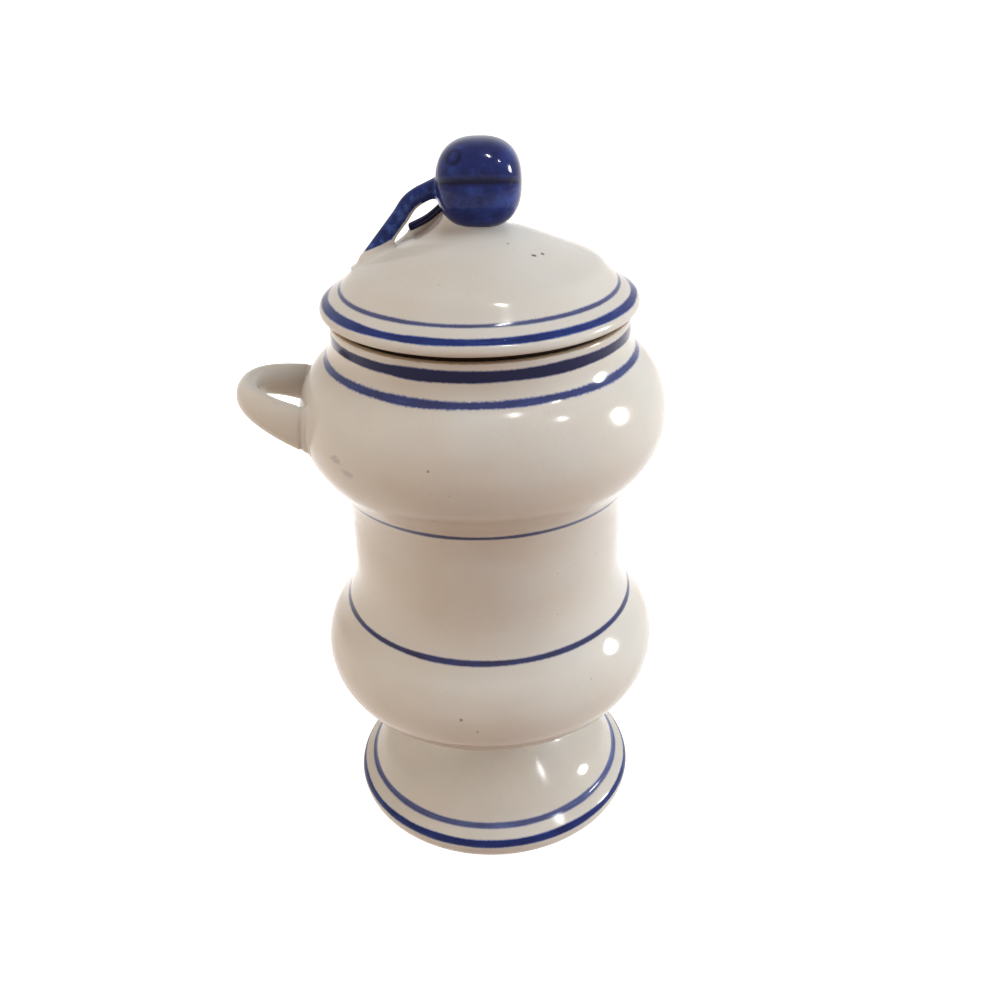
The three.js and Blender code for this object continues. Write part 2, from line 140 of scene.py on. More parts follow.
def rounded(
    before: np.ndarray, corner: np.ndarray, after: np.ndarray, radius: float, steps: int
) -> np.ndarray:
    """The arc that rounds the corner between two straight legs.

    Args:
        before: A point on the first leg.
        corner: The corner itself.
        after: A point on the second leg.
        radius: Radius of the rounding, cut down where a leg is short.
        steps: Number of steps along the arc.

    Returns:
        The arc's points from the first leg to the second.
    """
    back, onward = before - corner, after - corner
    back_length, onward_length = np.linalg.norm(back), np.linalg.norm(onward)
    back, onward = back / back_length, onward / onward_length
    half = math.acos(max(-1.0, min(1.0, float(back @ onward)))) / 2
    leg = min(radius / math.tan(half), 0.49 * back_length, 0.49 * onward_length)
    size = leg * math.tan(half)
    middle = (back + onward) / np.linalg.norm(back + onward)
    centre = corner + middle * size / math.sin(half)
    first, last = corner + back * leg - centre, corner + onward * leg - centre
    start = math.degrees(math.atan2(first[1], first[0]))
    turn = math.degrees(math.atan2(last[1], last[0])) - start
    turn = (turn + 180) % 360 - 180
    return arc(centre[0], centre[1], size, start, start + turn, steps)


@dataclass
class Outline:
    """A wall's line in the plane of radius and height, with marks along it."""

    points: np.ndarray
    bare: np.ndarray = field(default_factory=lambda: np.zeros(0))
    # Painted shade: how dark the slot between the lid and the jar is at each point.
    slot_shade: np.ndarray = field(default_factory=lambda: np.zeros(0))

    @classmethod
    def through(cls, *pieces: np.ndarray, step: float = 0.8) -> "Outline":
        """Join stretches into one line and divide what is longer than a step.

        Args:
            pieces: Stretches of points, in order.
            step: The longest stretch left undivided.

        Returns:
            The outline, glazed all along.
        """
        line = np.vstack([np.atleast_2d(piece) for piece in pieces])
        keep = np.r_[True, np.linalg.norm(np.diff(line, axis=0), axis=1) > 1e-4]
        line = line[keep]
        out = [line[0]]
        for first, last in zip(line[:-1], line[1:]):
            count = max(1, math.ceil(float(np.linalg.norm(last - first)) / step))
            out.extend(first + (last - first) * i / count for i in range(1, count + 1))
        points = np.array(out)
        return cls(points, np.zeros(len(points)), np.zeros(len(points)))

    @property
    def run(self) -> np.ndarray:
        """Distance along the line at each point."""
        return np.r_[0, np.cumsum(np.linalg.norm(np.diff(self.points, axis=0), axis=1))]

    def run_at(self, radius: float, height: float) -> float:
        """Distance along the line at the point nearest to a radius and height."""
        gaps = np.linalg.norm(self.points - np.array([radius, height]), axis=1)
        return float(self.run[int(np.argmin(gaps))])

    def _near(self, radius: float, height: float, reach: float, fade: float) -> np.ndarray:
        """How far each point belongs to the stretch round a place of the line."""
        off = np.abs(self.run - self.run_at(radius, height)) - reach
        return np.clip(0.5 - off / fade, 0, 1)

    def leave_bare(self, radius: float, height: float, reach: float, fade: float = 0.6) -> None:
        """Wipe the glaze off for a reach to both sides of a place of the line."""
        self.bare = np.maximum(self.bare, self._near(radius, height, reach, fade))

    def paint_slot_shade(self, radius: float, height: float, reach: float, fade: float = 0.5) -> None:
        """Paint shade, for the dark slot between the lid and the jar, for a reach to both sides of a
        place of the line.
        """
        self.slot_shade = np.maximum(self.slot_shade, self._near(radius, height, reach, fade))


@dataclass(frozen=True)
class Throwing:
    """The slight unevenness that a hand leaves in a turned wall. All of it lies inwards."""

    oval: float = 0.16
    ridge: float = 0.05
    pitch: float = 9.0
    seed: float = 0.0

    def inset(self, turn: np.ndarray, run: np.ndarray) -> np.ndarray:
        """How far the wall stands in, with a row for each run and a column for each turn."""
        lean = np.cos(2 * turn + self.seed)[None, :] + 0.5 * np.cos(3 * turn + 2 * self.seed)
        drift = 0.6 * np.sin(turn + self.seed)[None, :]
        wave = np.sin(2 * np.pi * run[:, None] / self.pitch + drift + self.seed)
        return self.oval * (1.5 + lean) / 3 + self.ridge * (1 + wave) / 2


# Meshes.


def make_object(
    name: str, vertices: np.ndarray, faces: list, marks: Optional[dict[str, np.ndarray]] = None
) -> Piece:
    """Make a smooth mesh object from points in millimetres off the jar's axis.

    Args:
        name: Name of the object and its mesh.
        vertices: Points in millimetres.
        faces: Vertex numbers of each face, seen from outside.
        marks: Values kept at each vertex for the glaze to read, by name.

    Returns:
        The linked object.
    """
    mesh = bpy.data.meshes.new(name)
    placed = (vertices + np.array([AXIS_X, 0.0, 0.0])) * MM
    mesh.from_pydata(placed.tolist(), [], [list(map(int, face)) for face in faces])
    for mark, values in (marks or {}).items():
        attribute = mesh.attributes.new(mark, "FLOAT", "POINT")
        attribute.data.foreach_set("value", np.asarray(values, np.float32))
    mesh.polygons.foreach_set("use_smooth", [True] * len(mesh.polygons))
    mesh.update()
    mesh.validate()
    piece = bpy.data.objects.new(name, mesh)
    bpy.context.scene.collection.objects.link(piece)
    return piece


def ring_faces(rings: int, sides: int) -> list[tuple[int, ...]]:
    """Quads between rings that follow each other, each ring closed on itself."""
    faces = []
    for i in range(rings - 1):
        for j in range(sides):
            k = (j + 1) % sides
            faces.append((i * sides + j, i * sides + k, (i + 1) * sides + k, (i + 1) * sides + j))
    return faces


def fan_faces(hub: int, edge: int, sides: int, turned: bool) -> list[tuple[int, ...]]:
    """Triangles from a hub to a closed ring, facing the other way where turned."""
    pairs = [(edge + j, edge + (j + 1) % sides) for j in range(sides)]
    return [(hub, after, here) if turned else (hub, here, after) for here, after in pairs]


def lathe(
    name: str, outline: Outline, sides: int, throwing: Throwing, skin: float = 0.02
) -> Piece:
    """Turn an outline round the jar's axis.

    Args:
        name: Name of the piece.
        outline: Closed line, or a line that starts and ends on the axis. It runs so that the
            clay lies to its left.
        sides: Number of divisions round the axis.
        throwing: Unevenness of the wall.
        skin: How far the whole wall stands inside its true radius.

    Returns:
        The turned object, which carries the marks run, bare and the painted shade of the slot between
        the lid and the jar.
    """
    points, run = outline.points, outline.run
    turn = np.linspace(0, 2 * np.pi, sides, endpoint=False)
    on_axis = points[:, 0] < 1e-6
    first, last = bool(on_axis[0]), bool(on_axis[-1])
    body = slice(1 if first else 0, len(points) - 1 if last else len(points))
    inset = throwing.inset(turn, run[body]) * np.clip(points[body, 0:1] / 20, 0, 1)
    radius = points[body, 0:1] - np.clip(points[body, 0:1] / 5, 0, 1) * skin - inset
    rings = len(radius)
    vertices = np.stack(
        (
            radius * np.cos(turn),
            radius * np.sin(turn),
            np.repeat(points[body, 1:2], sides, axis=1),
        ),
        axis=-1,
    ).reshape(-1, 3)
    faces = ring_faces(rings, sides)
    values = np.column_stack((run, outline.bare, outline.slot_shade))
    marks = np.repeat(values[body], sides, axis=0)
    edge = (rings - 1) * sides
    for on_hub, end, start in ((first, 0, 0), (last, -1, edge)):
        if on_hub:
            faces.extend(fan_faces(len(vertices), start, sides, turned=end == 0))
            vertices = np.vstack((vertices, [0, 0, points[end, 1]]))
            marks = np.vstack((marks, values[end]))
    if not first and not last:
        faces.extend(
            (edge + j, edge + (j + 1) % sides, (j + 1) % sides, j) for j in range(sides)
        )
    return make_object(name, vertices, faces, dict(zip(("run", "bare", "slot_shade"), marks.T)))


def spun(points: np.ndarray, degrees: float) -> np.ndarray:
    """Turn points round the upright axis by an angle in degrees."""
    angle = math.radians(degrees)
    turn = np.array([
        [math.cos(angle), -math.sin(angle), 0], [math.sin(angle), math.cos(angle), 0], [0, 0, 1],
    ])
    return points @ turn.T


def soft_union(first: np.ndarray, second: np.ndarray, fillet: float) -> np.ndarray:
    """Join two distance fields with a fillet of a given reach between them."""
    near = np.maximum(fillet - np.abs(first - second), 0) / fillet
    return np.minimum(first, second) - near * near * fillet / 4


def grown(
    form: np.ndarray, ground: np.ndarray, fillet: float, cut: float, skin: float = 0.03
) -> np.ndarray:
    """Join a form to its ground with a fillet and keep only the form's side of it.

    Args:
        form: Distances to the form.
        ground: Distances to what it grows from.
        fillet: Reach of the fillet in millimetres.
        cut: Depth below the ground's face at which the form is cut off.
        skin: How far the whole skin stands in.

    Returns:
        Distances to the form with its fillet.
    """
    joined = soft_union(form, ground, fillet) + skin
    return np.maximum(np.maximum(joined, -(ground + cut)), form - fillet)


def skin_of(
    form: Field, low: tuple[float, ...], high: tuple[float, ...], step: float
) -> tuple[np.ndarray, list]:
    """Mesh the skin of a form given by its distance field, with one vertex in each cell.

    Args:
        form: Distance field, negative inside.
        low: Lowest corner of the region that holds the form.
        high: Highest corner of it.
        step: Cell size.

    Returns:
        The vertices and the quads of a closed skin.
    """
    axes = [np.arange(a, b + step, step) for a, b in zip(low, high)]
    counts = [len(axis) for axis in axes]
    grid = np.stack(np.meshgrid(*axes, indexing="ij"), axis=-1).reshape(-1, 3)
    values = form(grid).reshape(counts)
    grid = grid.reshape(*counts, 3)
    inside = values < 0
    cells = tuple(count - 1 for count in counts)
    total = np.zeros((*cells, 3))
    hits = np.zeros(cells)
    corner = lambda a, o: a[
        o[0]:o[0] + cells[0], o[1]:o[1] + cells[1], o[2]:o[2] + cells[2]
    ]
    offsets = [(i, j, k) for i in (0, 1) for j in (0, 1) for k in (0, 1)]
    for start in offsets:
        for along in range(3):
            if start[along]:
                continue
            stop = tuple(v + (1 if n == along else 0) for n, v in enumerate(start))
            a, b = corner(values, start), corner(values, stop)
            crossing = corner(inside, start) != corner(inside, stop)
            share = np.where(crossing, a / np.where(crossing, a - b, 1), 0)[..., None]
            place = corner(grid, start) * (1 - share) + corner(grid, stop) * share
            total += np.where(crossing[..., None], place, 0)
            hits += crossing
    used = hits > 0
    number = np.full(cells, -1)
    number[used] = np.arange(int(used.sum()))
    vertices = total[used] / hits[used][:, None]
    faces: list = []
    for along in range(3):
        second, third = (along + 1) % 3, (along + 2) % 3
        here = [slice(1, -1)] * 3
        here[along] = slice(0, -1)
        there = list(here)
        there[along] = slice(1, None)
        a, b = inside[tuple(here)], inside[tuple(there)]
        index = np.argwhere(a != b)
        index[:, second] += 1
        index[:, third] += 1
        leaving = a[a != b]
        quad = []
        for back_second, back_third in ((0, 0), (1, 0), (1, 1), (0, 1)):
            cell = index.copy()
            cell[:, second] -= back_second
            cell[:, third] -= back_third
            quad.append(number[cell[:, 0], cell[:, 1], cell[:, 2]])
        quads = np.column_stack(quad)
        quads[~leaving] = quads[~leaving][:, ::-1]
        faces.extend(quads[(quads >= 0).all(axis=1)].tolist())
    return settle(form, vertices, step), faces


def settle(form: Field, vertices: np.ndarray, step: float, rounds: int = 3) -> np.ndarray:
    """Move points onto the skin of a form along its gradient.

    Args:
        form: Distance field.
        vertices: Points near the skin.
        step: Cell size, which bounds each move.
        rounds: Number of moves.

    Returns:
        The moved points.
    """
    probe = step / 20
    for _ in range(rounds):
        slope = np.stack(
            [
                (form(vertices + probe * unit) - form(vertices - probe * unit)) / (2 * probe)
                for unit in np.eye(3)
            ],
            axis=-1,
        )
        steep = np.maximum((slope**2).sum(axis=1), 0.2)
        move = (form(vertices) / steep)[:, None] * slope
        length = np.linalg.norm(move, axis=1, keepdims=True)
        vertices = vertices - move * np.minimum(1, step / 2 / np.maximum(length, 1e-9))
    return vertices


def nearest_on_line(points: np.ndarray, line: np.ndarray) -> tuple[np.ndarray, np.ndarray]:
    """Find the nearest place on a polyline for each point.

    Args:
        points: The points.
        line: Points of the polyline.

    Returns:
        The nearest places, and how far along the line each lies as a share of its length.
    """
    starts, legs = line[:-1], np.diff(line, axis=0)
    squared = (legs**2).sum(axis=1)
    lengths = np.sqrt(squared)
    travelled = np.r_[0, np.cumsum(lengths)]
    best = np.full(len(points), np.inf)
    place = np.zeros((len(points), 3))
    share = np.zeros(len(points))
    for i, (start, leg) in enumerate(zip(starts, legs)):
        t = np.clip((points - start) @ leg / squared[i], 0, 1)
        spot = start + t[:, None] * leg
        gap = ((points - spot) ** 2).sum(axis=1)
        closer = gap < best
        best[closer] = gap[closer]
        place[closer] = spot[closer]
        share[closer] = ((travelled[i] + t * lengths[i]) / travelled[-1])[closer]
    return place, share


def smooth_path(points: list[Spot], count: int) -> np.ndarray:
    """A smooth path through points, evenly divided.

    Args:
        points: Points to pass through.
        count: Number of divisions.

    Returns:
        The path's count + 1 points.
    """
    knots = np.array(points, float)
    knots = np.vstack((2 * knots[0] - knots[1], knots, 2 * knots[-1] - knots[-2]))
    out = []
    for i in range(1, len(knots) - 2):
        p0, p1, p2, p3 = knots[i - 1:i + 3]
        t0 = 0.0
        t1 = t0 + np.linalg.norm(p1 - p0) ** 0.5
        t2 = t1 + np.linalg.norm(p2 - p1) ** 0.5
        t3 = t2 + np.linalg.norm(p3 - p2) ** 0.5
        for t in np.linspace(t1, t2, 24, endpoint=i == len(knots) - 3):
            a1 = (t1 - t) / (t1 - t0) * p0 + (t - t0) / (t1 - t0) * p1
            a2 = (t2 - t) / (t2 - t1) * p1 + (t - t1) / (t2 - t1) * p2
            a3 = (t3 - t) / (t3 - t2) * p2 + (t - t2) / (t3 - t2) * p3
            b1 = (t2 - t) / (t2 - t0) * a1 + (t - t0) / (t2 - t0) * a2
            b2 = (t3 - t) / (t3 - t1) * a2 + (t - t1) / (t3 - t1) * a3
            out.append((t2 - t) / (t2 - t1) * b1 + (t - t1) / (t2 - t1) * b2)
    path = np.array(out)
    travelled = np.r_[0, np.cumsum(np.linalg.norm(np.diff(path, axis=0), axis=1))]
    marks = np.linspace(0, travelled[-1], count + 1)
    return np.column_stack([np.interp(marks, travelled, path[:, k]) for k in range(3)])


# Shader nodes.


class Sheet:
    """A node tree with short calls that add and join nodes."""

    def __init__(self, tree: Tree) -> None:
        """Start on an empty tree."""
        self.tree = tree

    def add(self, kind: str, **settings: object) -> Node:
        """Add a node of a kind and set its properties."""
        node = self.tree.nodes.new(kind)
        for name, value in settings.items():
            setattr(node, name, value)
        return node

    def feed(self, socket: Socket, value: object) -> None:
        """Link a socket to another, or set its value."""
        if isinstance(value, Socket):
            self.tree.links.new(value, socket)
        else:
            socket.default_value = value

    def fill(self, node: Node, *values: object) -> Node:
        """Feed a node's first inputs in order, and return the node."""
        for socket, value in zip(node.inputs, values):
            self.feed(socket, value)
        return node

    def give(self, node: Node, **values: object) -> Node:
        """Feed a node's inputs by name, with underscores for spaces, and return the node."""
        for name, value in values.items():
            self.feed(node.inputs[name.replace("_", " ")], value)
        return node

    def math(self, operation: str, first: Value, second: Value = 0.0, clamp: bool = False) -> Socket:
        """Do one sum and keep its result between 0 and 1 where clamped."""
        node = self.add("ShaderNodeMath", operation=operation, use_clamp=clamp)
        return self.fill(node, first, second).outputs[0]

    def times(self, first: Value, second: Value) -> Socket:
        """The product of two values."""
        return self.math("MULTIPLY", first, second)

    def plus(self, first: Value, second: Value, clamp: bool = False) -> Socket:
        """The sum of two values, kept between 0 and 1 where clamped."""
        return self.math("ADD", first, second, clamp)

    def minus(self, first: Value, second: Value) -> Socket:
        """The first value less the second."""
        return self.math("SUBTRACT", first, second)

    def vector(self, operation: str, first: object, second: object) -> Socket:
        """Do one vector operation and return its vector."""
        node = self.add("ShaderNodeVectorMath", operation=operation)
        return self.fill(node, first, second).outputs[0]

    def spread(
        self, value: Value, low: Value, high: Value, start: float = 0.0, end: float = 1.0,
        soft: bool = True,
    ) -> Socket:
        """Map a range of a value to another range, held at its ends.

        Args:
            value: The value.
            low: Where the range starts.
            high: Where the range ends.
            start: Result at its start.
            end: Result at its end.
            soft: Whether the change eases in and out.

        Returns:
            The mapped value.
        """
        kind = "SMOOTHSTEP" if soft else "LINEAR"
        node = self.add("ShaderNodeMapRange", interpolation_type=kind, clamp=True)
        return self.fill(node, value, low, high, start, end).outputs[0]

    def blend(self, share: Value, first: object, second: object) -> Socket:
        """Blend two colours by the share of the second."""
        node = self.add("ShaderNodeMix", data_type="RGBA")
        self.feed(node.inputs[0], share)
        self.feed(node.inputs[6], first)
        self.feed(node.inputs[7], second)
        return node.outputs[2]

    def noise(
        self, place: Socket, scale: float, detail: float = 2.0, rough: float = 0.5
    ) -> Socket:
        """Noise between 0 and 1, with a scale in ripples for each millimetre."""
        node = self.add("ShaderNodeTexNoise", noise_dimensions="3D")
        self.give(node, Vector=place, Scale=scale, Detail=detail, Roughness=rough)
        return node.outputs[0]

    def cells(self, feature: str, place: Socket, scale: Value) -> Node:
        """A cell pattern, with a scale in cells for each millimetre."""
        node = self.add("ShaderNodeTexVoronoi", feature=feature)
        return self.give(node, Vector=place, Scale=scale)

    def place_mm(self) -> Socket:
        """Position on the object in millimetres, fixed to the piece."""
        spot = self.add("ShaderNodeTexCoord").outputs["Object"]
        return self.vector("MULTIPLY", spot, (1000.0, 1000.0, 1000.0))

    def mark(self, name: str) -> Socket:
        """A value kept at the mesh's vertices."""
        return self.add("ShaderNodeAttribute", attribute_name=name).outputs["Fac"]

    def group(self, tree: Tree, **inputs: object) -> Node:
        """Place a shader group and feed its inputs by name."""
        return self.give(self.add("ShaderNodeGroup", node_tree=tree), **inputs)


class EffectLibrary:
    """Shader groups that several finishes share, each made once."""

    def __init__(self) -> None:
        """Build every group."""
        self.brushed_band = self._brushed_band()
        self.glaze_skin = self._glaze_skin()
        self.crackle = self._crackle()
        self.fleck = self._fleck()

    @staticmethod
    def _start(
        name: str, inputs: dict[str, object], *outputs: str
    ) -> tuple[Sheet, bpy.types.NodeOutputs, Node]:
        """Make an empty group with its sockets.

        Args:
            name: Name of the group.
            inputs: Default value of each input by name. A tuple makes a vector.
            outputs: Names of the outputs, which are all numbers.

        Returns:
            The sheet, the group's inputs by name and its output node.
        """
        tree = bpy.data.node_groups.new(name, "ShaderNodeTree")
        for label, default in inputs.items():
            kind = "NodeSocketVector" if isinstance(default, tuple) else "NodeSocketFloat"
            socket = tree.interface.new_socket(label, in_out="INPUT", socket_type=kind)
            socket.default_value = default
        for label in outputs:
            tree.interface.new_socket(label, in_out="OUTPUT", socket_type="NodeSocketFloat")
        sheet = Sheet(tree)
        return sheet, sheet.add("NodeGroupInput").outputs, sheet.add("NodeGroupOutput")

    def _brushed_band(self) -> Tree:
        """A stripe laid on a turning pot with a loaded brush."""
        sheet, put, made = self._start(
            "brushed_band",
            {
                "Place": (0.0, 0.0, 0.0), "Run": 0.0, "Centre": 0.0, "Half Width": 1.0,
                "Bleed": 0.4, "Wander": 0.2, "Ragged": 0.2, "Seed": 0.0,
            },
            "Mask", "Tone",
        )
        shift = sheet.add("ShaderNodeCombineXYZ")
        sheet.feed(shift.inputs[2], sheet.times(put["Seed"], 37.0))
        moved = sheet.vector("ADD", put["Place"], shift.outputs[0])
        slow = sheet.noise(moved, 0.018, 1.0)
        swell = sheet.noise(sheet.vector("ADD", moved, (71.0, 13.0, 5.0)), 0.035, 1.0)
        drift = sheet.times(sheet.minus(slow, 0.5), put["Wander"])
        centre = sheet.plus(put["Centre"], drift)
        off = sheet.math("ABSOLUTE", sheet.minus(put["Run"], centre))
        half = sheet.times(put["Half Width"], sheet.spread(swell, 0.3, 0.7, 0.86, 1.14))
        fine = sheet.minus(sheet.noise(moved, 0.9, 3.0, 0.6), 0.5)
        edge = sheet.times(fine, put["Ragged"])
        gap = sheet.plus(sheet.minus(off, half), edge)
        inner = sheet.times(put["Bleed"], -0.5)
        outer = sheet.times(put["Bleed"], 0.5)
        mask = sheet.spread(gap, inner, outer, 1.0, 0.0)
        streaky = sheet.vector("MULTIPLY", moved, (0.12, 0.12, 2.2))
        streak = sheet.noise(streaky, 1.0, 3.0, 0.6)
        rim = sheet.spread(sheet.math("DIVIDE", off, half), 0.55, 1.15, 0.0, -0.55)
        puddle = sheet.noise(moved, 0.11, 2.0)
        tone = sheet.plus(sheet.times(streak, 0.75), rim)
        tone = sheet.plus(tone, sheet.times(puddle, 0.5), clamp=True)
        sheet.give(made, Mask=mask, Tone=tone)
        return sheet.tree

    def _glaze_skin(self) -> Tree:
        """The relief of a dipped glaze: slow waves, fine orange peel and pinholes."""
        sheet, put, made = self._start(
            "glaze_skin",
            {"Place": (0.0, 0.0, 0.0), "Wave": 0.05, "Peel": 0.004, "Pinhole": 0.05},
            "Height", "Pits",
        )
        slow = sheet.noise(put["Place"], 0.07, 2.0, 0.5)
        peel = sheet.noise(put["Place"], 1.1, 2.0, 0.5)
        cells = sheet.cells("F1", put["Place"], 0.16)
        wanted = sheet.spread(cells.outputs["Color"], 0.62, 0.7)
        pit = sheet.spread(cells.outputs["Distance"], 0.02, 0.06, 1.0, 0.0)
        pits = sheet.times(pit, wanted)
        height = sheet.times(slow, put["Wave"])
        height = sheet.plus(height, sheet.times(peel, put["Peel"]))
        height = sheet.minus(height, sheet.times(pits, put["Pinhole"]))
        sheet.give(made, Height=height, Pits=pits)
        return sheet.tree

    def _crackle(self) -> Tree:
        """Fine craze lines in a glaze."""
        sheet, put, made = self._start(
            "crackle",
            {"Place": (0.0, 0.0, 0.0), "Scale": 0.2, "Width": 0.02},
            "Lines",
        )
        bend = sheet.give(sheet.add("ShaderNodeTexNoise"), Vector=put["Place"], Scale=0.25)
        centred = sheet.vector("SUBTRACT", bend.outputs["Color"], (0.5, 0.5, 0.5))
        warped = sheet.vector("ADD", put["Place"], sheet.vector("MULTIPLY", centred, (4, 4, 4)))
        cells = sheet.cells("DISTANCE_TO_EDGE", warped, put["Scale"])
        line = sheet.spread(cells.outputs["Distance"], 0.0, put["Width"], 1.0, 0.0)
        patch = sheet.spread(sheet.noise(put["Place"], 0.03, 1.0), 0.42, 0.6)
        sheet.give(made, Lines=sheet.times(line, patch))
        return sheet.tree

    def _fleck(self) -> Tree:
        """One small iron fleck or smudge round a point of the surface."""
        sheet, put, made = self._start(
            "fleck",
            {
                "Place": (0.0, 0.0, 0.0), "Spot": (0.0, 0.0, 0.0), "Stretch": (1.0, 1.0, 1.0),
                "Size": 1.0, "Ragged": 0.5,
            },
            "Mask",
        )
        away = sheet.vector(
            "DIVIDE", sheet.vector("SUBTRACT", put["Place"], put["Spot"]), put["Stretch"]
        )
        length = sheet.fill(sheet.add("ShaderNodeVectorMath", operation="LENGTH"), away)
        torn = sheet.minus(sheet.noise(put["Place"], 1.4, 3.0, 0.7), 0.5)
        gap = sheet.math("DIVIDE", length.outputs["Value"], put["Size"])
        gap = sheet.plus(gap, sheet.times(torn, put["Ragged"]))
        sheet.give(made, Mask=sheet.spread(gap, 0.45, 1.0, 1.0, 0.0))
        return sheet.tree


# Finishes.


class Brush(Enum):
    """How a band was laid on: bleed, wander and raggedness in millimetres."""

    LINER = (0.8, 0.5, 0.4)
    BANDER = (0.8, 0.7, 0.5)
    WET = (0.9, 0.7, 1.1)


@dataclass(frozen=True)
class Band:
    """One brushed stripe, given by the radius and height that it runs through."""

    radius: float
    height: float
    width: float
    brush: Brush
    seed: float
    strength: float = 1.0
    depth: float = 0.5


@dataclass(frozen=True)
class Fleck:
    """A small dark fleck or a grey smudge on the glaze, at a point off the jar's axis."""

    spot: Spot
    size: float
    strength: float = 0.8
    stretch: Spot = (1.0, 1.0, 1.0)
    colour: Rgba = srgb(58, 50, 44)
    ragged: float = 0.5


@dataclass(frozen=True)
class Cobalt:
    """Cobalt oxide under the glaze, from a thin wash to a heavy load."""

    thin: Rgba = srgb(66, 92, 160)
    full: Rgba = srgb(30, 48, 116)
    heavy: Rgba = srgb(17, 19, 68)

    def tone(self, sheet: Sheet, load: Value) -> Socket:
        """The paint's colour for a load between 0 and 1."""
        wash = sheet.blend(sheet.spread(load, 0.15, 0.6), self.thin, self.full)
        return sheet.blend(sheet.spread(load, 0.55, 1.0), wash, self.heavy)


@dataclass(frozen=True)
class Glaze:
    """What all glazes of the jar share: one material for each piece, with a fine relief."""

    effects: EffectLibrary
    shine: float = 0.14
    cobalt: Cobalt = Cobalt()

    @staticmethod
    def _open(piece: Piece) -> tuple[Sheet, Node, Socket]:
        """Put a new material on a piece: its sheet, its shader and the place in millimetres."""
        material = bpy.data.materials.new(piece.name + "_glaze")
        material.use_nodes = True
        piece.data.materials.append(material)
        sheet = Sheet(material.node_tree)
        return sheet, material.node_tree.nodes["Principled BSDF"], sheet.place_mm()

    def _coat(
        self, sheet: Sheet, shader: Node, colour: Socket, gloss: Socket, height: Socket
    ) -> None:
        """Feed the shader its colour, its roughness and a relief in millimetres."""
        bump = sheet.give(sheet.add("ShaderNodeBump"), Strength=1.0, Distance=MM, Height=height)
        sheet.give(
            shader, Base_Color=colour, Roughness=gloss, IOR=1.5, Specular_IOR_Level=self.shine,
            Normal=bump.outputs[0],
        )


